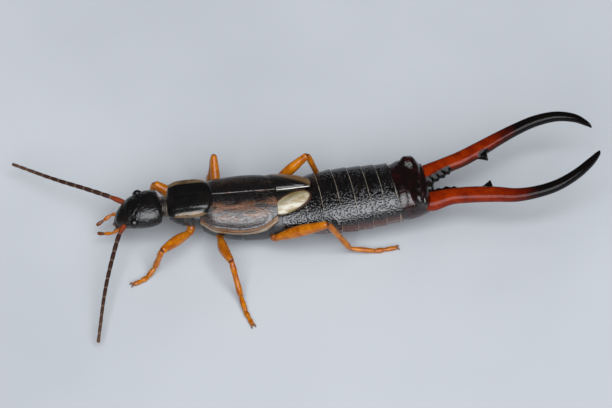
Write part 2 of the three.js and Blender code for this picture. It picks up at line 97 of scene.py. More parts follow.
def along_rows(rows: Rows, t: ARRAY) -> ARRAY:
    """Interpolates rows of numbers smoothly.

    Args:
        rows: equally spaced rows.
        t: places from 0 to 1.

    Returns:
        One row for each place.
    """
    known = np.array(rows, float)
    known = np.vstack([2 * known[0] - known[1], known, 2 * known[-1] - known[-2]])
    place = np.clip(t, 0, 1) * (len(rows) - 1)
    index = np.minimum(place.astype(int), len(rows) - 2)
    s = (place - index)[:, None]
    a, b, c, d = (known[index + k] for k in range(4))
    return 0.5 * (2 * b + (c - a) * s + (2 * a - 5 * b + 4 * c - d) * s**2 + (3 * b - a - 3 * c + d) * s**3)


def unit(vectors: ARRAY) -> ARRAY:
    """Scales each row to length one."""
    return vectors / np.maximum(np.linalg.norm(vectors, axis=-1, keepdims=True), 1e-9)


def bell(distance: ARRAY, width: float) -> ARRAY:
    """A smooth bump of height one around distance zero."""
    return np.exp(-((distance / width) ** 2))


def smooth(low: float, high: float, value: ARRAY) -> ARRAY:
    """A smooth step from 0 at low to 1 at high."""
    s = np.clip((value - low) / (high - low), 0, 1)
    return s * s * (3 - 2 * s)


def bumps(value: ARRAY, shapes: tuple[Triple, ...]) -> ARRAY:
    """Bells of a given place, width and height, added up.

    Args:
        value: where to read them.
        shapes: the place, width and height of each.

    Returns:
        Their sum at each value.
    """
    return sum(height * bell(value - place, width) for place, width, height in shapes)


def upward(u: ARRAY) -> ARRAY:
    """How far a tube's surface is on its upper side at u, from -1 to 1."""
    return np.sin(2 * math.pi * u)


def squared_circle(angle: ARRAY, square: float) -> tuple[ARRAY, ARRAY]:
    """Places across and above on a circle of radius one that is made squarer above 2."""
    power = 2 / square
    across = np.cos(angle)
    above = np.sin(angle)
    return np.sign(across) * np.abs(across) ** power, np.sign(above) * np.abs(above) ** power


def table(rows: Rows) -> Rows:
    """A dataclass field that starts with these rows."""
    return field(default_factory=lambda: [list(row) for row in rows])


def segment_distance(points: ARRAY, start: Pair, end: Pair) -> ARRAY:
    """Distance in plan from points to a line segment.

    Args:
        points: rows of x, y, z.
        start: the segment's first end in plan.
        end: its other end in plan.

    Returns:
        One distance for each point.
    """
    a = np.array(start)
    b = np.array(end)
    s = np.clip(((points[:, :2] - a) @ (b - a)) / ((b - a) @ (b - a)), 0, 1)
    return np.linalg.norm(points[:, :2] - a - s[:, None] * (b - a), axis=1)


# Mesh making


def deselect() -> None:
    """Clears the selection, so that an operator acts on the new piece alone."""
    bpy.ops.object.select_all(action="DESELECT")


def select_only(piece: Piece) -> None:
    """Makes one piece the active and only selected object."""
    deselect()
    piece.select_set(True)
    bpy.context.view_layer.objects.active = piece


def grid_piece(name: str, across: int, along: int) -> tuple[Piece, ARRAY, ARRAY]:
    """Adds a flat grid with its own UV map, to be shaped into a surface.

    Args:
        name: the piece's name.
        across: faces across the grid, which becomes the u direction.
        along: faces along the grid, which becomes the v direction.

    Returns:
        The object, and u and v of each vertex from 0 to 1.
    """
    deselect()
    bpy.ops.mesh.primitive_grid_add(x_subdivisions=across, y_subdivisions=along, size=1, calc_uvs=True)
    piece = bpy.context.active_object
    piece.name = name
    flat = np.empty(len(piece.data.vertices) * 3)
    piece.data.vertices.foreach_get("co", flat)
    flat = flat.reshape(-1, 3)
    return piece, flat[:, 0] + 0.5, flat[:, 1] + 0.5


def place_vertices(piece: Piece, points: ARRAY) -> None:
    """Writes the vertices' places."""
    piece.data.vertices.foreach_set("co", points.astype(np.float32).ravel())
    piece.data.update()


def store(piece: Piece, name: str, values: ARRAY) -> None:
    """Keeps a number at each vertex for the materials to read."""
    attribute = piece.data.attributes.new(name, "FLOAT", "POINT")
    attribute.data.foreach_set("value", values.astype(np.float32))


def weld(piece: Piece) -> None:
    """Merges the seam and poles of a shaped grid, closes what is open and turns faces outwards."""
    select_only(piece)
    bpy.ops.object.mode_set(mode="EDIT")
    bpy.ops.mesh.select_all(action="SELECT")
    bpy.ops.mesh.remove_doubles(threshold=WELD_GAP)
    bpy.ops.mesh.select_all(action="DESELECT")
    bpy.ops.mesh.select_mode(type="EDGE")
    bpy.ops.mesh.select_non_manifold(extend=False, use_wire=False, use_multi_face=False, use_verts=False)
    bpy.ops.mesh.edge_face_add()
    bpy.ops.mesh.select_all(action="SELECT")
    bpy.ops.mesh.normals_make_consistent(inside=False)
    bpy.ops.mesh.select_mode(type="VERT")
    bpy.ops.object.mode_set(mode="OBJECT")
    bpy.ops.object.shade_smooth()


def thicken(piece: Piece, thickness: float) -> None:
    """Gives an open shell a wall on its inner side."""
    select_only(piece)
    bpy.ops.object.mode_set(mode="EDIT")
    bpy.ops.mesh.select_all(action="SELECT")
    bpy.ops.mesh.remove_doubles(threshold=WALL_WELD_GAP)
    bpy.ops.object.mode_set(mode="OBJECT")
    wall = piece.modifiers.new("wall", "SOLIDIFY")
    wall.thickness = thickness
    wall.offset = -1
    bpy.ops.object.modifier_apply(modifier=wall.name)
    bpy.ops.object.shade_smooth()


@dataclass
class Sweep:
    """A closed tube of changing section along a middle line.

    Attributes:
        name: the piece's name.
        middle: gives the middle line's place at each t.
        size: gives half-width, height and depth at each t.
        sides: faces around.
        rings: faces along.
        square: 2 makes an ellipse, more makes it squarer.
        upright: the direction of the section's top.
        caps: the share of each end that is rounded off.
        relief: moves the surface in or out, from its points, u and v.
        stops: maps v from 0 to 1 to t from 0 to 1.
        slant: moves the points afterwards.
        marks: numbers kept at the vertices, by name.
    """

    name: str
    middle: Callable[[ARRAY], ARRAY]
    size: Callable[[ARRAY], ARRAY]
    sides: int = 64
    rings: int = 64
    square: float = 2.0
    upright: Triple = (0.0, 0.0, 1.0)
    caps: Pair = (0.08, 0.08)
    relief: Relief | None = None
    stops: Callable[[ARRAY], ARRAY] | None = None
    slant: Relief | None = None
    marks: dict[str, Relief] = field(default_factory=dict)

    def points(self, u: ARRAY, v: ARRAY) -> ARRAY:
        """Places on the surface.

        Args:
            u: shares around, 0 at the right side, 0.25 on top, 0.5 at the left side.
            v: shares along.

        Returns:
            Rows of x, y, z in millimetres.
        """
        t = self.stops(v) if self.stops else v
        centre = self.middle(t)
        ahead = self.middle(np.minimum(t + DIRECTION_STEP, 1))
        tangent = unit(ahead - self.middle(np.maximum(t - DIRECTION_STEP, 0)))
        side = unit(np.cross(np.array(self.upright), tangent))
        rise = np.cross(tangent, side)
        size = self.size(t)
        across, above = squared_circle(2 * math.pi * u, self.square)
        height = np.where(above > 0, size[:, 1], size[:, 2])
        shrink = self._cap_share(t)
        offset = side * (across * size[:, 0])[:, None] + rise * (above * height)[:, None]
        points = centre + offset * shrink[:, None]
        if self.relief:
            lift = self.relief(points, u, v) * shrink
            points = points + unit(offset) * lift[:, None]
        if self.slant:
            points = points + self.slant(points, u, v)
        return points

    def _cap_share(self, t: ARRAY) -> ARRAY:
        """The share of full size at t, which falls to nothing at rounded ends."""
        share = np.ones_like(t)
        for cap, distance in zip(self.caps, (t, 1 - t)):
            if cap > 0:
                inside = np.clip(distance / cap, 0, 1)
                share = share * np.sqrt(np.clip(1 - (1 - inside) ** 2, 0, 1))
        return share

    def build(self) -> Piece:
        """Makes the mesh.

        Returns:
            The new object, closed and smooth.
        """
        piece, u, v = grid_piece(self.name, self.sides, self.rings)
        points = self.points(u, v)
        place_vertices(piece, points)
        for mark, rule in self.marks.items():
            store(piece, mark, rule(points, u, v))
        weld(piece)
        return piece


def row_sweep(name: str, rows: Rows, **options) -> Sweep:
    """A sweep through rows of x, y, z, half-width, height and depth.

    Args:
        name: the piece's name.
        rows: equally spaced rows.
        options: the other fields of the sweep.

    Returns:
        The sweep, not yet built.
    """
    return Sweep(
        name,
        lambda t: along_rows([row[:3] for row in rows], t),
        lambda t: along_rows([row[3:6] for row in rows], t),
        **options,
    )


def limb_sweep(name: str, places: Rows, radii: Sequence[float], **options) -> Sweep:
    """A round limb segment through a few places.

    Args:
        name: the piece's name.
        places: points of the middle line.
        radii: radii at even places along it.
        options: the other fields of the sweep.

    Returns:
        The sweep, not yet built.
    """
    span = np.array(places[-1]) - np.array(places[0])
    steep = abs(span[2]) > math.hypot(span[0], span[1])
    options.setdefault("upright", (1.0, 0.0, 0.0) if steep else (0.0, 0.0, 1.0))
    return Sweep(
        name,
        lambda t: along_rows(places, t),
        lambda t: np.repeat(along_rows([[r] for r in radii], t), 3, axis=1),
        **options,
    )


def join(pieces: list[Piece], name: str) -> Piece:
    """Joins pieces into one object.

    Args:
        pieces: the objects, of which the first keeps its data.
        name: the joined object's name.

    Returns:
        The joined object.
    """
    deselect()
    for piece in pieces:
        piece.select_set(True)
    bpy.context.view_layer.objects.active = pieces[0]
    bpy.ops.object.join()
    joined = bpy.context.active_object
    joined.name = name
    return joined


def bristles(name: str, roots: ARRAY, directions: ARRAY, hair: Pair) -> Piece:
    """Fine tapered hairs, each a copy of one three-sided cone.

    Args:
        name: the piece's name.
        roots: rows of root places.
        directions: rows of unit directions.
        hair: a hair's length and its radius at the root.

    Returns:
        One object that holds them all.
    """
    length, radius = hair
    deselect()
    bpy.ops.mesh.primitive_cone_add(vertices=3, radius1=radius, radius2=0, depth=length)
    cone = bpy.context.active_object
    shape = np.array([vertex.co[:] for vertex in cone.data.vertices])
    shape[:, 2] += length / 2
    faces = [tuple(polygon.vertices) for polygon in cone.data.polygons]
    bpy.data.objects.remove(cone)
    points = []
    polygons = []
    for index, (root, direction) in enumerate(zip(roots, directions)):
        turn = Vector(direction).to_track_quat("Z", "Y").to_matrix()
        points.extend(np.array(root) + shape @ np.array(turn).T)
        polygons.extend(tuple(corner + index * len(shape) for corner in face) for face in faces)
    mesh = bpy.data.meshes.new(name)
    mesh.from_pydata([tuple(point) for point in points], [], polygons)
    piece = bpy.data.objects.new(name, mesh)
    bpy.context.collection.objects.link(piece)
    return piece


@dataclass(frozen=True)
class Placing:
    """The step from the animal's own frame to the model's, read from the left eye's node."""

    eye_in_own_frame: Triple = (-8.26, -0.84, 2.02)

    def shift(self) -> Vector:
        """The model frame's place of the own frame's origin, in metres."""
        low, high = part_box("eye_left")
        centre = (Vector(low) + Vector(high)) / 2
        return centre - Vector(self.eye_in_own_frame) * METRES

    def settle(self, piece: Piece) -> None:
        """Moves a mesh from millimetres in the own frame to metres in the model's frame."""
        matrix = Matrix.Translation(self.shift()) @ Matrix.Scale(METRES, 4)
        piece.data.transform(matrix)
        piece.data.update()


PLACING = Placing()


def hand_over(piece: Piece, material: Material, nodes: list[str]) -> None:
    """Finishes a piece and declares what it stands for.

    Args:
        piece: the mesh, still in millimetres.
        material: its finish.
        nodes: the model's nodes that it replaces.
    """
    PLACING.settle(piece)
    piece.data.materials.clear()
    piece.data.materials.append(material)
    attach(piece, "root")
    if nodes:
        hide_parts(*nodes)
    LOG.info("%s: %d faces, stands for %s", piece.name, len(piece.data.polygons), nodes or "nothing")


# Finishes


class Graph:
    """A material's node tree, with short ways to add and join nodes."""

    def __init__(self, name: str) -> None:
        """Starts a material with a Principled surface."""
        self.material = bpy.data.materials.new(name)
        self.material.use_nodes = True
        self.tree = self.material.node_tree
        self.shader = self.tree.nodes["Principled BSDF"]
        coordinates = self.tree.nodes.new("ShaderNodeTexCoord")
        mapping = self.tree.nodes.new("ShaderNodeMapping")
        mapping.inputs["Scale"].default_value = (1 / METRES, 1 / METRES, 1 / METRES)
        self.tree.links.new(coordinates.outputs["Object"], mapping.inputs["Vector"])
        self.millimetres = mapping.outputs["Vector"]

    def add(self, kind: str, **settings) -> bpy.types.Node:
        """Adds a node and sets its properties."""
        node = self.tree.nodes.new(kind)
        for key, value in settings.items():
            setattr(node, key, value)
        return node

    def feed(self, socket: Socket, value: Value) -> None:
        """Joins an output to a socket, or sets the socket's own value or colour."""
        if isinstance(value, Socket):
            self.tree.links.new(value, socket)
        else:
            socket.default_value = (*value, 1.0) if isinstance(value, tuple) else value

    def times(self, first: Value, second: Value, plus: Value = 0.0) -> Socket:
        """The product of two values, and a third one added to it."""
        node = self.add("ShaderNodeMath", operation="MULTIPLY_ADD")
        for socket, value in zip(node.inputs, (first, second, plus)):
            self.feed(socket, value)
        return node.outputs[0]

    def ramp(self, value: Value, low: float, high: float) -> Socket:
        """A smooth step of a value from 0 at low to 1 at high."""
        node = self.add("ShaderNodeMapRange", interpolation_type="SMOOTHSTEP")
        self.feed(node.inputs["Value"], value)
        self.feed(node.inputs["From Min"], low)
        self.feed(node.inputs["From Max"], high)
        return node.outputs["Result"]

    def mix(self, factor: Value, first: Value, second: Value) -> Socket:
        """A blend of two colours, given as RGB or as outputs."""
        node = self.add("ShaderNodeMix", data_type="RGBA")
        self.feed(node.inputs["Factor"], factor)
        self.feed(node.inputs[6], first)
        self.feed(node.inputs[7], second)
        return node.outputs[2]

    def noise(self, scale: float, detail: float = 4.0, roughness: float = 0.55,
              stretch: float = 1.0) -> Socket:
        """Noise in millimetre units, drawn out along the animal where stretch is below 1."""
        mapping = self.add("ShaderNodeMapping")
        mapping.inputs["Scale"].default_value = (stretch, 1.0, 1.0)
        self.feed(mapping.inputs["Vector"], self.millimetres)
        node = self.add("ShaderNodeTexNoise")
        self.feed(node.inputs["Vector"], mapping.outputs["Vector"])
        self.feed(node.inputs["Scale"], scale)
        self.feed(node.inputs["Detail"], detail)
        self.feed(node.inputs["Roughness"], roughness)
        return node.outputs["Fac"]

    def mark(self, name: str) -> Socket:
        """A number kept at the vertices."""
        node = self.add("ShaderNodeAttribute", attribute_type="GEOMETRY", attribute_name=name)
        return node.outputs["Fac"]

    def bump(self, height: Socket, distance_mm: float, strength: float = 1.0,
             below: Socket | None = None) -> Socket:
        """A bump from a height, on top of another one."""
        node = self.add("ShaderNodeBump")
        self.feed(node.inputs["Height"], height)
        self.feed(node.inputs["Distance"], distance_mm * METRES)
        self.feed(node.inputs["Strength"], strength)
        if below is not None:
            self.feed(node.inputs["Normal"], below)
        return node.outputs["Normal"]

    def pits(self, scale: float, depth_mm: float, wall: Pair = (0.0, 0.68),
             strength: float = 0.9, below: Socket | None = None) -> Socket:
        """A bump of round pits scattered over the surface.

        Args:
            scale: pits in a millimetre.
            depth_mm: their depth.
            wall: where a pit's wall begins and ends, as shares of the pits' distance.
            strength: the bump's strength.
            below: the bump that they are added to.

        Returns:
            The bump's output.
        """
        node = self.add("ShaderNodeTexVoronoi", feature="F1")
        self.feed(node.inputs["Vector"], self.millimetres)
        self.feed(node.inputs["Scale"], scale)
        return self.bump(self.ramp(node.outputs["Distance"], *wall), depth_mm, strength, below)

    def surface(self, colour: Value, roughness: Value, normal: Socket | None = None, coat: float = 0.0,
                coat_roughness: float = 0.1, subsurface: float = 0.0, specular: float = 0.5) -> Material:
        """Sets the Principled surface and hands back the material.

        Args:
            colour: RGB, or an output.
            roughness: a number, or an output.
            normal: a bump's output.
            coat: weight of a clear coat.
            coat_roughness: the coat's roughness.
            subsurface: weight of light that passes through.
            specular: the specular level.

        Returns:
            The finished material.
        """
        inputs = self.shader.inputs
        self.feed(inputs["Base Color"], colour)
        self.feed(inputs["Roughness"], roughness)
        inputs["Coat Weight"].default_value = coat
        inputs["Coat Roughness"].default_value = coat_roughness
        inputs["Specular IOR Level"].default_value = specular
        inputs["Subsurface Weight"].default_value = subsurface
        inputs["Subsurface Radius"].default_value = LIGHT_TINTS
        inputs["Subsurface Scale"].default_value = LIGHT_DEPTH * METRES
        if normal is not None:
            self.feed(inputs["Normal"], normal)
        return self.material


@dataclass(frozen=True)
class Horn:
    """Dark insect horn: two close colours, fine pits and a low grain.

    Attributes:
        name: the material's name.
        dark: the main colour.
        light: the colour of thinner patches.
        roughness: lowest and highest roughness.
        pits: pits in a millimetre, or none.
        pit_depth: their depth in millimetres.
        coat: weight of the clear coat.
        edge: the colour of pale edges, kept in the mark edge, or none.
        under: the colour of the lower side, kept in the mark under, or none.
        specular: the specular level.
        dents: depth of the broad dents in millimetres.
        patch_noise: scale and detail of the patches.
        patch_limits: noise at which they begin and are full.
        grain_noise: scale, detail and roughness of the grain.
        grain_share: its depth as a share of the pits'.
        dent_noise: scale and detail of the dents.
        wear_noise: scale, detail, roughness and stretch of the wear on pale edges.
        wear_limits: noise at which it begins and is full.
        wear_share: brightness of worn edges.
        edge_limits: the mark at which an edge begins and is full.
    """

    name: str
    dark: Triple
    light: Triple
    roughness: Pair = (0.2, 0.4)
    pits: float = 0.0
    pit_depth: float = 0.0
    coat: float = 0.3
    edge: Triple | None = None
    under: Triple | None = None
    specular: float = 0.5
    dents: float = 0.012
    patch_noise: Pair = (1.4, 3.0)
    patch_limits: Pair = (0.45, 0.7)
    grain_noise: Triple = (24.0, 5.0, 0.6)
    grain_share: float = 0.6
    dent_noise: Pair = (5.0, 3.0)
    wear_noise: tuple[float, ...] = (4.0, 4.0, 0.6, 0.4)
    wear_limits: Pair = (0.4, 0.62)
    wear_share: float = 0.4
    edge_limits: Pair = (0.35, 0.75)

    def make(self) -> Material:
        """Builds the material."""
        graph = Graph(self.name)
        patches = graph.ramp(graph.noise(*self.patch_noise), *self.patch_limits)
        colour = graph.mix(patches, self.dark, self.light)
        grain = graph.noise(*self.grain_noise)
        low, high = self.roughness
        rough = graph.times(grain, high - low, low)
        normal = graph.bump(graph.noise(*self.dent_noise), self.dents, 0.6)
        if self.pits:
            normal = graph.pits(self.pits, self.pit_depth, below=normal)
            normal = graph.bump(grain, self.pit_depth * self.grain_share, 0.6, normal)
        if self.under:
            colour = graph.mix(graph.mark("under"), colour, self.under)
        if self.edge:
            dull = tuple(self.wear_share * share for share in self.edge)
            wear = graph.ramp(graph.noise(*self.wear_noise), *self.wear_limits)
            rim = graph.mix(wear, self.edge, dull)
            colour = graph.mix(graph.ramp(graph.mark("edge"), *self.edge_limits), colour, rim)
        return graph.surface(colour, rough, normal, self.coat, 0.12, specular=self.specular)


@dataclass(frozen=True)
class Amber:
    """Yellow-brown leg horn that lets some light through.

    Attributes:
        name: the material's name.
        pale: the main colour.
        deep: the colour of its blotches.
        joint: the colour of the segments' ends.
        blotch_noise: scale and detail of the blotches.
        blotch_limits: noise at which they begin and are full.
        joint_limits: the mark at which an end begins and is full.
        streak_noise: scale and detail of the fine relief.
        streak_limits: noise for no and for full roughness.
    """

    name: str = "amber_horn"
    pale: Triple = (0.42, 0.135, 0.003)
    deep: Triple = (0.26, 0.06, 0.0015)
    joint: Triple = (0.08, 0.016, 0.003)
    blotch_noise: Pair = (2.6, 4.0)
    blotch_limits: Pair = (0.35, 0.68)
    joint_limits: Pair = (0.3, 1.0)
    streak_noise: Pair = (9.0, 3.0)
    streak_limits: Pair = (0.1, 1.6)

    def make(self) -> Material:
        """Builds the material, darker towards each segment's ends."""
        graph = Graph(self.name)
        blotches = graph.ramp(graph.noise(*self.blotch_noise), *self.blotch_limits)
        colour = graph.mix(blotches, self.pale, self.deep)
        colour = graph.mix(graph.ramp(graph.mark("joint"), *self.joint_limits), colour, self.joint)
        streaks = graph.noise(*self.streak_noise)
        normal = graph.bump(streaks, 0.01, 0.5)
        rough = graph.ramp(streaks, *self.streak_limits)
        return graph.surface(colour, rough, normal, 0.3, 0.08, subsurface=0.35, specular=0.2)


@dataclass(frozen=True)
class WingCase:
    """Elytron finish: coppery disc, dark rims and a tan outer fold.

    Attributes:
        name: the material's name.
        dark: the colour at the shoulder and of the rims.
        copper: the disc's colour.
        grey: the colour of the disc's outer half.
        tan: the colour of the outer fold.
        pale: the colour of the fold's hem.
        disc_start: where the copper begins beside the suture, as shares of the way out.
        shoulder: where it begins behind the front edge, as shares of the way back.
        far_painted_shade: how much of it the far case keeps, the rest being taken off as painted shade,
            since that case faces away from the light.
        suture: where the copper line on the suture ends.
        band_starts: where each band outside the disc begins.
        grain_noise: scale, detail, roughness and stretch of the grain.
        copper_limits: grain at which the disc's copper begins and is full.
        suture_limits: the same for the suture's copper.
        streak_limits: the same for the streaks of the fold and its hem.
        pits: pits in a millimetre.
        pit_depth: their depth in millimetres.
    """

    name: str = "wing_case_horn"
    dark: Triple = (0.0035, 0.0022, 0.0018)
    copper: Triple = (0.12, 0.042, 0.013)
    grey: Triple = (0.028, 0.02, 0.018)
    tan: Triple = (0.23, 0.11, 0.04)
    pale: Triple = (0.26, 0.22, 0.16)
    disc_start: Pair = (0.1, 0.22)
    shoulder: Pair = (0.08, 0.26)
    far_painted_shade: Pair = (1.25, 0.0)
    suture: Pair = (0.014, 0.005)
    band_starts: tuple[Pair, ...] = (
        (0.4, 0.58), (0.705, 0.72), (0.73, 0.745), (0.8, 0.815), (0.82, 0.835), (0.93, 0.95))
    grain_noise: tuple[float, ...] = (3.6, 5.0, 0.6, 0.3)
    copper_limits: Pair = (0.36, 0.6)
    suture_limits: Pair = (0.5, 0.7)
    streak_limits: Pair = (0.3, 0.7)
    pits: float = 14.0
    pit_depth: float = 0.014

    def make(self) -> Material:
        """Builds the material from the marks out (suture to edge), back (front to rear) and far, which takes
        most of the copper off the right case as painted shade.
        """
        graph = Graph(self.name)
        out = graph.mark("out")
        grain = graph.noise(*self.grain_noise)
        disc = graph.times(graph.ramp(out, *self.disc_start), graph.ramp(graph.mark("back"), *self.shoulder))
        disc = graph.times(disc, graph.ramp(grain, *self.copper_limits))
        # Painted shade: the right case, which faces away from the light, loses most of its copper.
        disc = graph.times(disc, graph.ramp(graph.mark("far"), *self.far_painted_shade))
        colour = graph.mix(disc, self.dark, self.copper)
        rim = graph.times(graph.ramp(out, *self.suture), graph.ramp(grain, *self.suture_limits))
        colour = graph.mix(rim, colour, self.copper)
        streaks = graph.ramp(grain, *self.streak_limits)
        fold = graph.mix(streaks, self.tan, self.copper)
        hem = graph.mix(streaks, self.pale, self.tan)
        bands = (self.grey, self.dark, fold, self.dark, hem, self.dark)
        for limits, tint in zip(self.band_starts, bands):
            colour = graph.mix(graph.ramp(out, *limits), colour, tint)
        normal = graph.pits(self.pits, self.pit_depth)
        normal = graph.bump(graph.noise(20.0, 4.0), 0.007, 0.5, normal)
        rough = graph.times(grain, 0.2, 0.16)
        return graph.surface(colour, rough, normal, 0.0, 0.3, specular=0.9)


@dataclass(frozen=True)
class WingPack:
    """The folded wing's tip: ivory oval in a brown rim, dark towards the middle line; the right tip is
    painted dark and tan instead, as painted shade.

    Attributes:
        name: the material's name.
        ivory: the oval's main colour.
        white: the colour of its veils.
        olive: its colour towards the middle line.
        brown: the rim's colour.
        dark: the colour outside the rim.
        shade: the colour of the right tip's outer part, a painted shade in place of the ivory.
        veil_noise: scale, detail, roughness and stretch of the veils.
        veil_limits: noise at which they begin and are full.
        rim: where the rim begins, as shares of the oval.
        outside: where it ends.
    """

    name: str = "folded_wing"
    ivory: Triple = (0.22, 0.165, 0.07)
    white: Triple = (0.4, 0.37, 0.29)
    olive: Triple = (0.12, 0.088, 0.026)
    brown: Triple = (0.05, 0.02, 0.007)
    dark: Triple = (0.004, 0.003, 0.0025)
    shade: Triple = (0.13, 0.07, 0.03)
    veil_noise: tuple[float, ...] = (5.0, 4.0, 0.6, 0.3)
    veil_limits: Pair = (0.42, 0.58)
    rim: Pair = (0.86, 0.98)
    outside: Pair = (1.02, 1.2)

    def make(self) -> Material:
        """Builds the material from the marks oval, inward and far, where far paints the right tip in shade.
        """
        graph = Graph(self.name)
        veil = graph.noise(*self.veil_noise)
        inside = graph.mix(graph.ramp(veil, *self.veil_limits), self.ivory, self.white)
        inward = graph.mark("inward")
        inner = graph.times(graph.ramp(inward, -0.3, 0.7), graph.ramp(veil, 0.25, 0.6))
        inside = graph.mix(inner, inside, self.olive)
        oval = graph.mark("oval")
        colour = graph.mix(graph.ramp(oval, *self.rim), inside, self.brown)
        colour = graph.mix(graph.ramp(oval, *self.outside), colour, self.dark)
        # Painted shade: the right tip, which faces away from the light, is painted dark and tan in place of
        # the ivory.
        outer = graph.mix(graph.ramp(inward, 0.5, -0.1), self.dark, self.shade)
        colour = graph.mix(graph.mark("far"), colour, outer)
        normal = graph.bump(graph.noise(14.0, 4.0, 0.6, 0.25), 0.022, 0.6)
        return graph.surface(colour, 0.3, normal, 0.2, 0.3, subsurface=0.1)


@dataclass(frozen=True)
class ForcepsHorn:
    """Forceps finish: orange-red from the root, black towards the tip and along the inner edge, that edge
    being painted less black on the right arm where light falls on it.

    Attributes:
        name: the material's name.
        red: the root's main colour.
        deep: the colour of its blotches and before the black.
        black: the tip's colour.
        blotch_noise: scale and detail of the blotches.
        blotch_limits: noise at which they begin and are full.
        sway: how far the blotches shift the colours' limits along the arm.
        deep_limits: shares of the length at which the deep red begins and is full.
        black_limits: the same for the black.
        inner_limits: the mark at which the inner edge's black begins and is full, the mark also carrying the
            painted shade line along each arm's side turned from the light.
    """

    name: str = "forceps_horn"
    red: Triple = (0.2, 0.017, 0.0006)
    deep: Triple = (0.1, 0.006, 0.001)
    black: Triple = (0.003, 0.0022, 0.002)
    blotch_noise: Pair = (2.2, 4.0)
    blotch_limits: Pair = (0.3, 0.75)
    sway: float = 0.16
    deep_limits: Pair = (0.4, 0.58)
    black_limits: Pair = (0.5, 0.68)
    inner_limits: Pair = (0.12, 0.5)

    def make(self) -> Material:
        """Builds the material from the marks reach (root to tip) and inner."""
        graph = Graph(self.name)
        blotches = graph.noise(*self.blotch_noise)
        along = graph.times(blotches, self.sway, graph.mark("reach"))
        colour = graph.mix(graph.ramp(blotches, *self.blotch_limits), self.red, self.deep)
        colour = graph.mix(graph.ramp(along, *self.deep_limits), colour, self.deep)
        colour = graph.mix(graph.ramp(along, *self.black_limits), colour, self.black)
        colour = graph.mix(graph.ramp(graph.mark("inner"), *self.inner_limits), colour, self.black)
        normal = graph.bump(graph.noise(6.0, 3.0), 0.014, 0.5)
        normal = graph.pits(9.0, 0.008, (0.05, 0.35), 0.4, normal)
        return graph.surface(colour, 0.1, normal, specular=0.16)


@dataclass(frozen=True)
class FeelerHorn:
    """Feeler finish: brown beads with pale rings between them and an amber first segment.

    Attributes:
        name: the material's name.
        brown: the beads' colour.
        tip: their colour near the tip.
        amber: the first segment's colour.
        ring: the rings' colour.
        amber_limits: shares of the length at which the amber begins to fade and has gone.
        tip_limits: the same for the beads' brown.
        ring_limits: the mark at which a ring begins and is full.
    """

    name: str = "feeler_horn"
    brown: Triple = (0.026, 0.008, 0.0045)
    tip: Triple = (0.075, 0.036, 0.02)
    amber: Triple = (0.15, 0.022, 0.002)
    ring: Triple = (0.24, 0.165, 0.1)
    amber_limits: Pair = (0.11, 0.16)
    tip_limits: Pair = (0.55, 1.0)
    ring_limits: Pair = (0.4, 0.95)

    def make(self) -> Material:
        """Builds the material from the marks reach and ring."""
        graph = Graph(self.name)
        reach = graph.mark("reach")
        colour = graph.mix(graph.ramp(reach, *self.amber_limits), self.amber, self.brown)
        colour = graph.mix(graph.ramp(reach, *self.tip_limits), colour, self.tip)
        colour = graph.mix(graph.ramp(graph.mark("ring"), *self.ring_limits), colour, self.ring)
        fuzz = graph.bump(graph.noise(40.0, 3.0), 0.006, 0.6)
        return graph.surface(colour, 0.5, fuzz, specular=0.2)


BLACK_HORN = Horn("head_horn", (0.003, 0.0026, 0.0026), (0.008, 0.005, 0.004), (0.16, 0.28), 11.0, 0.005,
                  0.1, dents=0.07)
PLATE_HORN = Horn("neck_plate_horn", (0.002, 0.0018, 0.0017), (0.006, 0.004, 0.003), (0.2, 0.36), 11.0,
                  0.006, 0.2, edge=(0.15, 0.09, 0.042))
BELLY_HORN = Horn("belly_horn", (0.01, 0.01, 0.011), (0.03, 0.029, 0.029), (0.3, 0.5), 12.0, 0.006, 0.2)
RING_HORN = Horn("abdomen_horn", (0.0022, 0.0018, 0.0018), (0.005, 0.0032, 0.0028), (0.07, 0.13), 10.5,
                 0.02, 0.0, edge=(0.5, 0.42, 0.31), under=(0.07, 0.021, 0.015), specular=0.75)
LAST_HORN = Horn("last_plate_horn", (0.004, 0.0012, 0.0012), (0.016, 0.0022, 0.002), (0.12, 0.22), 12.0,
                 0.003, 0.1, edge=(0.02, 0.004, 0.003), specular=0.55, dents=0.07)
FOLD_HORN = Horn("fold_horn", (0.55, 0.52, 0.46), (0.3, 0.26, 0.2), (0.2, 0.35))
MOUTH_HORN = Horn("mouth_horn", (0.03, 0.009, 0.005), (0.09, 0.03, 0.012), (0.25, 0.4))
NECK_SKIN = Horn("neck_skin", (0.012, 0.01, 0.009), (0.13, 0.1, 0.07), (0.25, 0.5), 7.0, 0.05)
EYE_HORN = Horn("eye_horn", (0.003, 0.0026, 0.0026), (0.006, 0.005, 0.005), (0.14, 0.24), 20.0, 0.004, 0.1)


# The animal


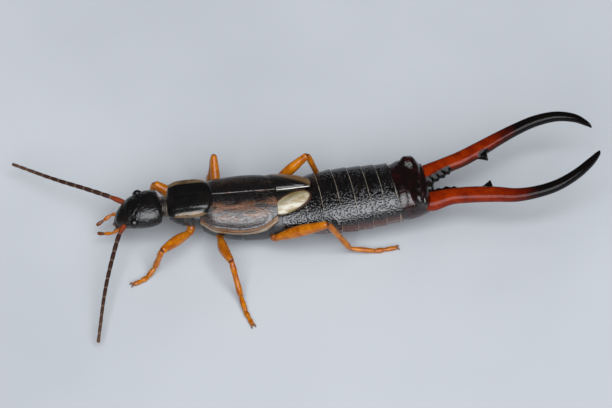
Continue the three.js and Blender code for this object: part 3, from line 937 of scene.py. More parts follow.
@dataclass
class Head:
    """The head capsule, its eyes and the skin behind it.

    Attributes:
        rows: the capsule's sections from front to rear.
        neck_rows: the neck's sections.
        eyes: each eye's middle.
        eye_size: an eye's half-sizes.
        grooves: both ends in plan and the width of each groove on the crown.
        groove_depth: their depth.
        brow: place, width and height of the swelling across the face.
        notch: place, width and height of the dent behind the crown.
        neck_fold_depth: depth of the neck's folds.
        neck_fold_waves: how closely they follow each other.
    """

    rows: Rows = table([
        [-9.08, -0.22, 1.5, 0.34, 0.24, 0.26],
        [-8.82, -0.22, 1.68, 0.54, 0.4, 0.44],
        [-8.45, -0.16, 1.85, 0.76, 0.51, 0.58],
        [-8.05, -0.08, 1.97, 0.91, 0.6, 0.7],
        [-7.6, 0.0, 2.04, 0.98, 0.62, 0.7],
        [-7.2, 0.06, 2.06, 0.94, 0.57, 0.63],
        [-6.92, 0.1, 2.06, 0.76, 0.45, 0.5],
    ])
    neck_rows: Rows = table([
        [-7.3, 0.08, 2.02, 0.44, 0.34, 0.38],
        [-6.85, 0.07, 2.04, 0.52, 0.4, 0.42],
        [-6.3, 0.04, 2.04, 0.6, 0.42, 0.5],
    ])
    eyes: dict[Side, Triple] = field(default_factory=lambda: {
        Side.RIGHT: (-8.02, 0.76, 2.2),
        Side.LEFT: (-8.26, -0.84, 2.02),
    })
    eye_size: Triple = (0.25, 0.22, 0.27)
    grooves: tuple[tuple[Pair, Pair, float], ...] = (
        ((-6.9, 0.09), (-7.75, 0.0), 0.035),
        ((-7.75, 0.0), (-8.3, 0.5), 0.03),
        ((-7.75, 0.0), (-8.25, -0.58), 0.03),
    )
    groove_depth: float = 0.02
    brow: Triple = (-8.55, 0.12, 0.02)
    notch: Triple = (0.08, 0.22, -0.05)
    neck_fold_depth: float = 0.03
    neck_fold_waves: float = 40.0

    def _relief(self, points: ARRAY, u: ARRAY, v: ARRAY) -> ARRAY:
        """The crown's forked groove, the dent behind it and the swelling across the face."""
        top = smooth(0.02, 0.3, upward(u))
        groove = np.maximum.reduce([
            bell(segment_distance(points, start, end), width) for start, end, width in self.grooves])
        notch = bumps(points[:, 1], (self.notch,)) * smooth(-7.2, -6.94, points[:, 0])
        return top * (bumps(points[:, 0], (self.brow,)) + notch - self.groove_depth * groove)

    def build(self) -> None:
        """Makes the capsule, the eyes and the neck."""
        horn = BLACK_HORN.make()
        capsule = row_sweep("head_capsule", self.rows, sides=128, rings=128, square=2.15, caps=(0.1, 0.1),
                            relief=self._relief)
        hand_over(capsule.build(), horn, ["head"])
        eye_horn = EYE_HORN.make()
        for side, place in self.eyes.items():
            hand_over(self._eye(side, place), eye_horn, [f"eye_{side.word}"])
        folds = lambda points, u, v: self.neck_fold_depth * np.sin(v * self.neck_fold_waves)
        neck = row_sweep("neck_fold", self.neck_rows, sides=64, rings=48, caps=(0.1, 0.1), relief=folds)
        hand_over(neck.build(), NECK_SKIN.make(), ["neck"])

    def _eye(self, side: Side, place: Triple) -> Piece:
        """One bulging eye."""
        deselect()
        bpy.ops.mesh.primitive_uv_sphere_add(segments=40, ring_count=24, radius=1, location=place)
        eye = bpy.context.active_object
        eye.name = f"eye_dome_{side.word}"
        eye.scale = self.eye_size
        bpy.ops.object.transform_apply(location=True, rotation=False, scale=True)
        bpy.ops.object.shade_smooth()
        return eye


@dataclass
class Mouth:
    """The upper lip, jaws and palps.

    Attributes:
        lip_rows: the upper lip's sections.
        palps: each palp's joints and radius.
        palp_shape: a palp segment's radii as shares of the palp's.
        palp_end_tint: how dark a palp's last segment is.
    """

    lip_rows: Rows = table([
        [-8.86, -0.12, 1.42, 0.36, 0.16, 0.14],
        [-9.06, -0.14, 1.3, 0.34, 0.12, 0.12],
        [-9.2, -0.15, 1.16, 0.24, 0.08, 0.08],
    ])
    palps: dict[str, tuple[Rows, float]] = field(default_factory=lambda: {
        "maxillary_palp_right": (
            [[-8.8, 0.26, 1.4], [-9.3, 0.42, 1.22], [-9.7, 0.26, 1.0], [-10.06, 0.1, 0.84]], 0.085),
        "maxillary_palp_left": (
            [[-8.82, -0.46, 1.32], [-9.3, -0.62, 1.1], [-9.7, -0.5, 0.94], [-10.03, -0.38, 0.84]], 0.085),
        "labial_palp_right": ([[-8.8, 0.06, 1.24], [-9.04, 0.14, 1.0], [-9.26, 0.1, 0.82]], 0.07),
        "labial_palp_left": ([[-8.8, -0.26, 1.22], [-9.04, -0.36, 1.0], [-9.26, -0.32, 0.82]], 0.07),
    })
    palp_shape: tuple[float, ...] = (0.7, 0.95, 1.1, 0.75)
    palp_end_tint: float = 0.85

    def build(self, amber: Material) -> None:
        """Makes the lip, the jaws and the palps.

        Args:
            amber: the palps' finish.
        """
        horn = MOUTH_HORN.make()
        lip = row_sweep("upper_lip", self.lip_rows, sides=48, rings=32, caps=(0.2, 0.3))
        hand_over(lip.build(), horn, ["labrum"])
        for side in Side:
            s = side.value
            rows = [
                [-8.7, -0.1 + s * 0.36, 1.36, 0.13, 0.15, 0.15],
                [-9.0, -0.12 + s * 0.34, 1.14, 0.12, 0.14, 0.14],
                [-9.22, -0.13 + s * 0.2, 0.98, 0.07, 0.08, 0.08],
            ]
            jaw = row_sweep(f"jaw_{side.word}", rows, sides=32, rings=24, caps=(0.2, 0.4))
            hand_over(jaw.build(), horn, [f"mandible_{side.word}"])
        for name, (places, radius) in self.palps.items():
            parts = [
                segment(f"{name}_{i}", places[i], places[i + 1],
                        [share * radius for share in self.palp_shape],
                        tint=self.palp_end_tint if i == len(places) - 2 else 0.0)
                for i in range(len(places) - 1)
            ]
            hand_over(join(parts, name + "_beads"), amber, [name])


def segment(name: str, start: list[float], end: list[float], radii: Sequence[float],
            bow: Triple = (0.0, 0.0, 0.0), sides: int = 28, rings: int = 40, flat: float = 1.0,
            tint: float = 0.0) -> Piece:
    """One limb segment with rounded, darker ends.

    Args:
        name: the piece's name.
        start: its first end.
        end: its other end.
        radii: radii at even places along it.
        bow: how far its middle stands off the straight line.
        sides: faces around.
        rings: faces along.
        flat: the section's width as a share of its height.
        tint: how dark it is all over.

    Returns:
        The new object, with the mark joint high at the ends.
    """
    middle = [(a + b) / 2 + c for a, b, c in zip(start, end, bow)]
    sweep = limb_sweep(name, [start, middle, end], radii, sides=sides, rings=rings, caps=(0.07, 0.07))
    plain = sweep.size
    sweep.size = lambda t: plain(t) * np.array([flat, 1.0, 1.0])
    sweep.marks["joint"] = lambda points, u, v: tint + bell(v, 0.035) + bell(1 - v, 0.045)
    return sweep.build()


@dataclass
class ForeBody:
    """The prothorax with its shield, and the thorax below the wing cases.

    Attributes:
        shield_rows: the shield's sections from front to rear.
        prothorax_rows: the prothorax's sections.
        thorax_rows: the thorax's sections.
        near_rim: where the shield's pale left rim begins and ends across.
        far_rim: the same for its right rim.
        prothorax_folds: place, width and height of each fold across the prothorax.
        thorax_seams: the same for the seams between the thorax's plates.
        middle: y of the shield's middle line.
        line_width: the middle line's width.
        gutter: place, width and height of the gutter at each side of it.
        furrow: the same for the furrow across the shield.
        groove_depth: depth of the line, gutters and furrow.
    """

    shield_rows: Rows = table([
        [-6.66, 0.04, 2.5, 0.9, 0.1, 0.12],
        [-6.3, 0.03, 2.54, 1.05, 0.26, 0.14],
        [-5.9, 0.03, 2.57, 1.1, 0.33, 0.14],
        [-5.5, 0.02, 2.58, 1.12, 0.37, 0.14],
        [-5.1, 0.01, 2.6, 1.08, 0.38, 0.14],
        [-4.72, 0.0, 2.62, 0.88, 0.35, 0.14],
        [-4.36, 0.0, 2.64, 0.42, 0.26, 0.12],
    ])
    prothorax_rows: Rows = table([
        [-6.56, 0.04, 2.04, 0.6, 0.4, 0.5],
        [-6.1, 0.03, 1.96, 0.82, 0.54, 0.74],
        [-5.6, 0.02, 1.88, 0.9, 0.6, 0.84],
        [-4.8, 0.0, 1.78, 1.0, 0.66, 0.92],
    ])
    thorax_rows: Rows = table([
        [-5.0, 0.0, 1.7, 0.92, 0.6, 0.92],
        [-4.3, -0.02, 1.56, 1.2, 0.86, 1.14],
        [-3.5, -0.04, 1.48, 1.38, 0.93, 1.22],
        [-2.7, -0.05, 1.44, 1.45, 0.93, 1.24],
        [-1.9, -0.04, 1.46, 1.45, 0.88, 1.2],
        [-0.8, -0.02, 1.5, 1.4, 0.8, 1.06],
    ])
    near_rim: Pair = (0.91, 0.99)
    far_rim: Pair = (0.66, 0.8)
    prothorax_folds: tuple[Triple, ...] = ((-5.9, 0.05, 0.03), (-5.5, 0.06, -0.04))
    thorax_seams: tuple[Triple, ...] = ((-3.1, 0.05, -0.05), (-1.75, 0.05, -0.05))
    middle: float = 0.02
    line_width: float = 0.03
    gutter: Triple = (0.82, 0.09, 1.0)
    furrow: Triple = (-5.75, 0.16, 1.0)
    groove_depth: float = 0.03

    def _shield_relief(self, points: ARRAY, u: ARRAY, v: ARRAY) -> ARRAY:
        """The shield's middle line, side gutters and cross furrow."""
        top = smooth(0.0, 0.25, upward(u))
        line = bell(points[:, 1] - self.middle, self.line_width) * smooth(-6.5, -6.2, points[:, 0])
        across = np.abs(points[:, 1] - self.middle)
        furrow = bumps(points[:, 0], (self.furrow,)) * smooth(0.15, 0.4, across) * smooth(0.85, 0.6, across)
        return -self.groove_depth * top * (line + bumps(across, (self.gutter,)) + furrow)

    def build(self) -> None:
        """Makes the shield, the prothorax and the thorax."""
        near = lambda points: smooth(*self.near_rim, -points[:, 1]) * smooth(-6.5, -6.2, points[:, 0])
        far = lambda points: smooth(*self.far_rim, points[:, 1]) * smooth(-6.66, -6.5, points[:, 0])
        pale = lambda points, u, v: np.maximum(near(points), far(points))
        shield = row_sweep("neck_shield", self.shield_rows, sides=160, rings=120, square=2.5,
                           caps=(0.05, 0.12), relief=self._shield_relief, marks={"edge": pale})
        hand_over(shield.build(), PLATE_HORN.make(), ["pronotum"])
        belly = BELLY_HORN.make()
        folds = lambda points, u, v: bumps(points[:, 0], self.prothorax_folds)
        prothorax = row_sweep("prothorax_shell", self.prothorax_rows, sides=96, rings=64, relief=folds)
        hand_over(prothorax.build(), belly, ["prothorax"])
        seams = lambda points, u, v: bumps(points[:, 0], self.thorax_seams)
        thorax = row_sweep("thorax_shell", self.thorax_rows, sides=96, rings=96, square=2.1, relief=seams)
        hand_over(thorax.build(), belly, ["thorax"])


@dataclass
class WingCases:
    """The two elytra and the folded wing tips behind them.

    Attributes:
        rows: x, the middle's y and z, width, height and the lower edge's angle from front to rear.
        fold_line: places along the pale fold on the right wing's tip.
        fold_radii: its radii.
        square: how square the cases' section is.
        wall: a case's thickness.
        seam: half the gap between the cases.
        far_share: the right case's width as a share of the left one's.
        tuck: how much the outer fold turns in.
        fold_height: how steeply it goes down.
        keel: place, width and height of the ridge above the fold.
        rim: the same for the suture's rim.
        oval: x of the ivory oval's middle, y of the middle line and the oval's distance from it.
        oval_turn: the oval's angle to the middle line.
        oval_width: its half-width, its half-length being 1.
        oval_rim: place, width and height of the ridge around it.
    """

    rows: Rows = table([
        [-5.12, 0.0, 2.0, 1.0, 0.74, -14.0],
        [-4.5, 0.01, 1.92, 1.46, 0.93, -16.0],
        [-3.9, 0.02, 1.88, 1.58, 0.97, -18.0],
        [-3.3, 0.04, 1.86, 1.66, 0.99, -20.0],
        [-2.7, 0.05, 1.86, 1.67, 0.99, -18.0],
        [-2.1, 0.07, 1.87, 1.6, 0.98, -10.0],
        [-1.42, 0.09, 1.88, 1.44, 0.96, 14.0],
    ])
    fold_line: Rows = table([
        [-1.5, 0.1, 2.78], [-0.9, 0.11, 2.81], [-0.3, 0.14, 2.83], [0.2, 0.17, 2.84]])
    fold_radii: tuple[float, ...] = (0.02, 0.03, 0.03, 0.02)
    square: float = 2.5
    wall: float = 0.09
    seam: float = 0.006
    far_share: float = 0.9
    tuck: float = 0.05
    fold_height: float = 0.66
    keel: Triple = (0.725, 0.018, 0.035)
    rim: Triple = (0.0, 0.02, 0.004)
    oval: Triple = (-0.72, 0.1, 0.72)
    oval_turn: float = math.radians(-25.0)
    oval_width: float = 0.38
    oval_rim: Triple = (1.0, 0.08, 0.02)

    def build(self) -> None:
        """Makes both elytra and both wing tips."""
        horn = WingCase().make()
        pack = WingPack().make()
        for side in Side:
            hand_over(self._case(side), horn, [f"elytron_{side.word}"])
            hand_over(self._pack(side), pack, [f"wing_{side.word}"])
        fold = limb_sweep("wing_fold_line", self.fold_line, self.fold_radii, sides=12, rings=40)
        hand_over(fold.build(), FOLD_HORN.make(), [])

    def _case(self, side: Side) -> Piece:
        """One elytron, a curved shell from the suture to its outer fold."""
        piece, u, v = grid_piece(f"wing_case_{side.word}", 120, 160)
        row = along_rows(self.rows, v)
        low = np.radians(row[:, 5])
        angle = math.pi / 2 + (low - math.pi / 2) * u
        across, above = squared_circle(angle, self.square)
        level = np.sin(angle)
        across = row[:, 3] * np.where(level < 0, 1 - self.tuck * (level / 0.35) ** 2, across)
        above = np.where(level < 0, level * self.fold_height, above * row[:, 4])
        if side is Side.RIGHT:
            across = across * self.far_share
        ridges = bumps(u, (self.keel,)) * smooth(0.02, 0.12, v) + bumps(u, (self.rim,))
        outward = np.stack([np.zeros_like(u), np.cos(angle) * side.value, level], axis=1)
        middle = row[:, 1] * smooth(1.0, 0.3, u)
        away = side.value * (across + self.seam) + middle
        points = np.stack([row[:, 0], away, row[:, 2] + above], axis=1) + outward * ridges[:, None]
        place_vertices(piece, points)
        store(piece, "out", u)
        store(piece, "back", v)
        store(piece, "far", np.full_like(v, float(side is Side.RIGHT)))
        if side is Side.RIGHT:
            piece.data.flip_normals()
        thicken(piece, self.wall)
        return piece

    def _pack(self, side: Side) -> Piece:
        """One folded wing's tip, a cushion with a low oval ridge."""
        s = side.value
        rows = [
            [-2.0, 0.07 + s * 0.66, 2.52, 0.62, 0.2, 0.24],
            [-1.4, 0.09 + s * 0.64, 2.55, 0.62, 0.22, 0.24],
            [-0.9, 0.1 + s * 0.58, 2.58, 0.57, 0.22, 0.24],
            [-0.4, 0.11 + s * 0.48, 2.62, 0.47, 0.2, 0.22],
            [-0.02, 0.12 + s * 0.36, 2.65, 0.34, 0.17, 0.2],
            [0.22, 0.12 + s * 0.24, 2.66, 0.22, 0.12, 0.18],
        ]

        def in_oval(points: ARRAY) -> tuple[ARRAY, ARRAY]:
            """Places along and across the ivory oval, 1 at its rim."""
            start, line, out = self.oval
            x = points[:, 0] - start
            y = s * (points[:, 1] - line) - out
            cosine, sine = math.cos(self.oval_turn), math.sin(self.oval_turn)
            return x * cosine + y * sine, (y * cosine - x * sine) / self.oval_width

        def oval(points: ARRAY, u: ARRAY, v: ARRAY) -> ARRAY:
            """Distance from the ivory oval's middle, 1 at its rim."""
            return np.hypot(*in_oval(points))

        ridge = lambda points, u, v: bumps(oval(points, u, v), (self.oval_rim,))
        marks = {
            "oval": oval,
            "far": lambda points, u, v: np.full_like(u, float(side is Side.RIGHT)),
            "inward": lambda points, u, v: -in_oval(points)[1],
        }
        sweep = row_sweep(f"folded_wing_{side.word}", rows, sides=96, rings=96, square=2.3,
                          caps=(0.05, 0.22), upright=(0.0, s * 0.33, 1.0), relief=ridge, marks=marks)
        return sweep.build()


@dataclass
class Abdomen:
    """The ringed abdomen and the broad last plate.

    Attributes:
        rows: the rings' sections from front to rear.
        edges: how far back each ring's rear edge is.
        ring_places: where the mesh has rings around an edge, as shares of the length.
        lean: how far the rings lean to the rear on the left side.
        bulge: how far their tops reach further back.
        step: how far an edge stands over the next ring.
        lip: place, width and height of an edge's thickened lip.
        side_folds: place, width and height of the furrow along each flank.
        flank: the same for where the knobs of the first rings stand around the body.
        knobs: the same for where they stand along it.
        knob_height: their height.
        plate_rows: the last plate's sections.
        tubercle: x, distance from the middle and radius of the raised corners.
        tubercle_lean: how far they lean to the rear.
        tubercle_height: their height.
        plate_line: y of the last plate's middle.
        plate_rims: place, width and height of the rim and the furrow at its rear edge.
        plate_swells: the same for its swelling and the hollow behind.
        knob_rows: sections of the small plate between the forceps.
    """

    rows: Rows = table([
        [-1.7, 0.0, 1.5, 1.36, 0.78, 1.04],
        [-0.2, 0.0, 1.6, 1.55, 0.83, 1.08],
        [1.0, 0.04, 1.7, 1.7, 1.0, 1.12],
        [2.0, 0.09, 1.74, 1.72, 1.08, 1.18],
        [3.0, 0.15, 1.8, 1.67, 1.08, 1.16],
        [4.0, 0.22, 1.88, 1.58, 1.04, 1.12],
        [4.2, 0.24, 1.9, 1.56, 1.04, 1.1],
    ])
    edges: tuple[float, ...] = (-0.12, 0.64, 1.4, 2.16, 2.87, 3.52, 4.14)
    ring_places: tuple[float, ...] = (-0.05, -0.014, -0.003, 0.0, 0.002, 0.02)
    lean: float = 0.085
    bulge: float = 0.1
    step: float = 0.035
    lip: Triple = (0.03, 0.03, 0.012)
    side_folds: tuple[Triple, ...] = ((0.545, 0.018, 0.035), (0.955, 0.018, 0.035))
    flank: tuple[Triple, ...] = ((0.46, 0.03, 1.0), (0.04, 0.03, 0.2))
    knobs: tuple[Triple, ...] = ((0.45, 0.1, 1.0), (1.2, 0.1, 0.8))
    knob_height: float = 0.1
    plate_rows: Rows = table([
        [3.8, 0.2, 1.88, 1.3, 0.82, 0.9],
        [4.3, 0.24, 1.9, 1.47, 0.95, 1.02],
        [4.8, 0.28, 1.93, 1.53, 1.0, 1.08],
        [5.3, 0.32, 1.96, 1.48, 0.9, 0.98],
        [5.7, 0.35, 1.98, 1.36, 0.7, 0.82],
        [5.9, 0.37, 2.0, 1.26, 0.54, 0.68],
    ])
    tubercle: Triple = (5.04, 0.98, 0.3)
    tubercle_lean: float = 0.2
    tubercle_height: float = 0.34
    plate_line: float = 0.3
    plate_rims: tuple[Triple, ...] = ((5.74, 0.08, 0.06), (5.54, 0.07, -0.06))
    plate_swells: tuple[Triple, ...] = ((4.5, 0.22, 0.05), (4.98, 0.2, -0.06))
    knob_rows: Rows = table([
        [5.7, 0.26, 1.98, 0.3, 0.34, 0.34],
        [5.95, 0.24, 2.02, 0.27, 0.3, 0.32],
        [6.18, 0.24, 2.02, 0.2, 0.2, 0.24],
    ])

    def _stops(self, v: ARRAY) -> ARRAY:
        """Gathers rings at the tergites' rear edges."""
        marks = [0.0]
        for edge in self.edges:
            marks.extend(self._share(edge) + offset for offset in self.ring_places)
        marks.append(1.0)
        marks = np.minimum(marks, 1.0)
        return np.interp(v, np.linspace(0, 1, len(marks)), marks)

    def _share(self, x: float) -> float:
        """The share along the rows at which they reach x."""
        shares = np.linspace(0, 1, 400)
        return float(np.interp(x, along_rows([row[:1] for row in self.rows], shares)[:, 0], shares))

    def _x_at(self, v: ARRAY) -> ARRAY:
        """How far back the middle line is at v."""
        return along_rows([row[:1] for row in self.rows], self._stops(v))[:, 0]

    def _slant(self, points: ARRAY, u: ARRAY, v: ARRAY) -> ARRAY:
        """Leans the rings and lets their tops reach further back."""
        share = self._stops(v)
        middle = along_rows([row[1:3] for row in self.rows], share)
        back = self.bulge * np.maximum(upward(u), 0) - self.lean * (points[:, 1] - middle[:, 0])
        back = back * smooth(0.0, 0.2, share)
        return np.stack([back, np.zeros_like(back), np.zeros_like(back)], axis=1)

    def _to_edge(self, x: ARRAY) -> ARRAY:
        """Distance forward from each place to the rear edge of its tergite."""
        edges = np.array(self.edges)
        index = np.clip(np.searchsorted(edges, x - 1e-4), 0, len(edges) - 1)
        return edges[index] - x

    def _relief(self, points: ARRAY, u: ARRAY, v: ARRAY) -> ARRAY:
        """Each tergite rises to its rear edge and steps in to the next, with folds at its sides."""
        x = self._x_at(v)
        gap = np.clip(self._to_edge(x), 0, 1)
        rise = self.step * (smooth(0.75, 0.0, gap) - 1) + bumps(gap, (self.lip,))
        knob = self.knob_height * bumps(u, self.flank) * bumps(x, self.knobs)
        return rise - bumps(u, self.side_folds) + knob

    def _edge_mark(self, points: ARRAY, u: ARRAY, v: ARRAY) -> ARRAY:
        """High on the thin pale line at each rear edge, which is faded out on the upper left flank as
        painted shade where the key light's sheen lies.
        """
        gap = self._to_edge(self._x_at(v))
        worn = 0.85 + 0.15 * np.sin(points[:, 1] * 5.0 + points[:, 0] * 2.3)
        # Painted shade: the pale lines fade out on the upper left flank only, in the band where the key
        # light's sheen falls.
        return bell(gap - 0.006, 0.01) * (gap > -0.001) * (1 - 0.85 * bell(u - 0.405, 0.055)) * worn

    def _plate_relief(self, points: ARRAY, u: ARRAY, v: ARRAY) -> ARRAY:
        """Raised corners over the forceps, a hollow between them, a rim behind and a swelling in front."""
        x, y, radius = self.tubercle
        top = smooth(0.1, 0.5, upward(u))
        across = points[:, 1] - self.plate_line
        back = (points[:, 0] - x + self.tubercle_lean * (across - y)) * 0.8
        lift = bumps(points[:, 0], self.plate_rims)
        for side in Side:
            distance = np.hypot(back, across - side.value * y)
            peak = self.tubercle_height * np.exp(-((distance / radius) ** 4))
            lift = lift + peak + 0.05 * bell(distance, 2 * radius)
        hollow = -0.08 * bell(across, 0.4) * smooth(4.5, 5.4, points[:, 0])
        swell = bumps(points[:, 0], self.plate_swells)
        return top * (lift + hollow) + smooth(0.0, 0.3, upward(u)) * swell

    def build(self) -> None:
        """Makes the rings, the last plate and the small plate between the forceps."""
        under = lambda points, u, v: smooth(0.3, -0.15, upward(u))
        rings = row_sweep("abdomen_rings", self.rows, sides=160, rings=370, square=2.15, caps=(0.02, 0.0),
                          relief=self._relief, stops=self._stops, slant=self._slant,
                          marks={"edge": self._edge_mark, "under": under})
        hand_over(rings.build(), RING_HORN.make(), ["abdomen"])
        plate = row_sweep("last_plate", self.plate_rows, sides=160, rings=140, square=2.25, caps=(0.03, 0.1),
                          relief=self._plate_relief, marks={"edge": under})
        hand_over(plate.build(), LAST_HORN.make(), ["last_tergite"])
        knob = row_sweep("end_knob", self.knob_rows, sides=48, rings=40, square=2.6, caps=(0.2, 0.3))
        hand_over(knob.build(), BLACK_HORN.make(), ["pygidium"])


@dataclass
class Forceps:
    """The two long bent arms, with a knobbed flange at the root and a tooth further out.

    Attributes:
        root: where both arms' axis begins.
        yaw: the axis's turn about the vertical.
        pitch: how far it rises.
        rows: distance along the axis, the right and the left arm's distances across, half-width and
            half-thickness.
        tooth_at: how far along the axis each tooth stands.
        tooth: its height and width.
        tooth_slopes: how long its front and rear slopes are, as shares of its width.
        flange: the flange's height.
        flange_root: where along the axis it begins to rise and stands full.
        flange_end: where it ends and where it still stands full.
        edge_width: how wide an arm's inner edge is, as a share of the way around.
        knobs: place, width and height of its knobs.
        painted_light_black_least: the least share of black along each arm's inner edge; the right arm keeps
            less black, painted lighter where the light falls on its inner face.
        black_root: where along the axis the black of the root ends and where it still is full.
        black_tooth: how far the black reaches around the tooth.
        painted_shade_outline: where around each arm a dark line of painted shade runs, on the side turned
            from the light: the right arm's upper outer edge, the left arm's lower side.
        painted_shade_outline_width: how wide it is, as a share of the way around.
        painted_shade_outline_share: its share of black.
    """

    root: Triple = (5.8, 0.2, 2.08)
    yaw: float = math.radians(9.3)
    pitch: float = math.radians(8.5)
    rows: Rows = table([
        [-0.35, 0.68, -0.68, 0.4, 0.3],
        [0.1, 0.78, -0.82, 0.5, 0.34],
        [1.0, 0.98, -0.86, 0.4, 0.31],
        [2.0, 1.12, -1.1, 0.4, 0.29],
        [3.0, 1.38, -1.44, 0.38, 0.28],
        [4.0, 1.68, -1.84, 0.33, 0.26],
        [5.0, 1.94, -1.99, 0.29, 0.24],
        [6.0, 2.1, -1.94, 0.27, 0.23],
        [7.0, 2.02, -1.63, 0.24, 0.21],
        [7.8, 1.64, -1.2, 0.2, 0.18],
        [8.3, 1.1, -0.84, 0.12, 0.11],
        [8.46, 0.78, -0.66, 0.03, 0.03],
    ])
    tooth_at: dict[Side, float] = field(default_factory=lambda: {Side.RIGHT: 3.02, Side.LEFT: 2.76})
    tooth: Pair = (0.44, 0.25)
    tooth_slopes: Pair = (1.6, 0.7)
    flange: float = 0.1
    flange_root: Pair = (-0.1, 0.15)
    flange_end: Pair = (1.4, 1.2)
    edge_width: float = 0.09
    knobs: tuple[Triple, ...] = (
        (0.2, 0.09, 0.09), (0.52, 0.1, 0.07), (0.86, 0.11, 0.1), (1.18, 0.06, 0.05))
    # Painted light: the right arm's inner edge is less black, where light falls on it.
    painted_light_black_least: dict[Side, float] = field(default_factory=lambda: {Side.RIGHT: 0.3, Side.LEFT: 0.75})
    black_root: Pair = (1.45, 1.25)
    black_tooth: float = 0.28
    painted_shade_outline: dict[Side, float] = field(default_factory=lambda: {Side.RIGHT: 0.12, Side.LEFT: 0.62})
    painted_shade_outline_width: float = 0.03
    painted_shade_outline_share: float = 0.6

    def _axes(self) -> ARRAY:
        """Rows of the forceps plane: along, across and above."""
        turn = Matrix.Rotation(self.yaw, 3, "Z") @ Matrix.Rotation(-self.pitch, 3, "Y")
        return np.array(turn).T

    def build(self) -> None:
        """Makes both arms."""
        horn = ForcepsHorn().make()
        for side in Side:
            hand_over(self._arm(side), horn, [f"forceps_{side.word}"])

    def _arm(self, side: Side) -> Piece:
        """One arm."""
        axes = self._axes()
        column = 1 if side is Side.RIGHT else 2
        root = np.array(self.root)

        def middle(t: ARRAY) -> ARRAY:
            """The arm's middle line."""
            row = along_rows(self.rows, t)
            return root + row[:, :1] * axes[0] + row[:, column:column + 1] * axes[1]

        def size(t: ARRAY) -> ARRAY:
            """Half-width and half-thickness."""
            row = along_rows(self.rows, t)
            return np.stack([row[:, 3], row[:, 4], row[:, 4]], axis=1)

        def place(v: ARRAY) -> ARRAY:
            """Distance along the forceps axis."""
            return along_rows(self.rows, v)[:, 0]

        inner_u = 0.5 if side is Side.RIGHT else 0.0

        def facing(u: ARRAY) -> ARRAY:
            """One on the arm's inner edge, falling to nothing away from it."""
            away = np.abs((u - inner_u + 0.5) % 1 - 0.5)
            return bell(away, self.edge_width)

        def relief(points: ARRAY, u: ARRAY, v: ARRAY) -> ARRAY:
            """The flange, knobs and tooth on the inner edge."""
            along = place(v)
            edge = facing(u) ** 1.5
            flange = self.flange * smooth(*self.flange_end, along) * smooth(*self.flange_root, along)
            height, width = self.tooth
            front, rear = self.tooth_slopes
            behind = (along - self.tooth_at[side]) / width
            tooth = height * np.clip(1 - np.where(behind < 0, -behind / front, behind / rear), 0, 1) ** 1.1
            return edge * (flange + bumps(along, self.knobs)) + facing(u) ** 4 * tooth

        arm = Sweep(f"forceps_arm_{side.word}", middle, size, sides=96, rings=420, square=2.6,
                    upright=tuple(axes[2]), caps=(0.02, 0.02), relief=relief)
        arm.marks["reach"] = lambda points, u, v: place(v) / self.rows[-1][0]
        near_tooth = lambda v: bell(place(v) - self.tooth_at[side], self.black_tooth)
        root_share = lambda v: smooth(*self.black_root, place(v)) + near_tooth(v)
        # Painted shade: a dark line along the side of each arm that is turned away from the light.
        rim = lambda u: self.painted_shade_outline_share * bell(u - self.painted_shade_outline[side], self.painted_shade_outline_width)
        arm.marks["inner"] = lambda points, u, v: np.maximum(
            facing(u) ** 0.5 * np.clip(root_share(v), self.painted_light_black_least[side], 1) * 1.3, rim(u))
        return arm.build()


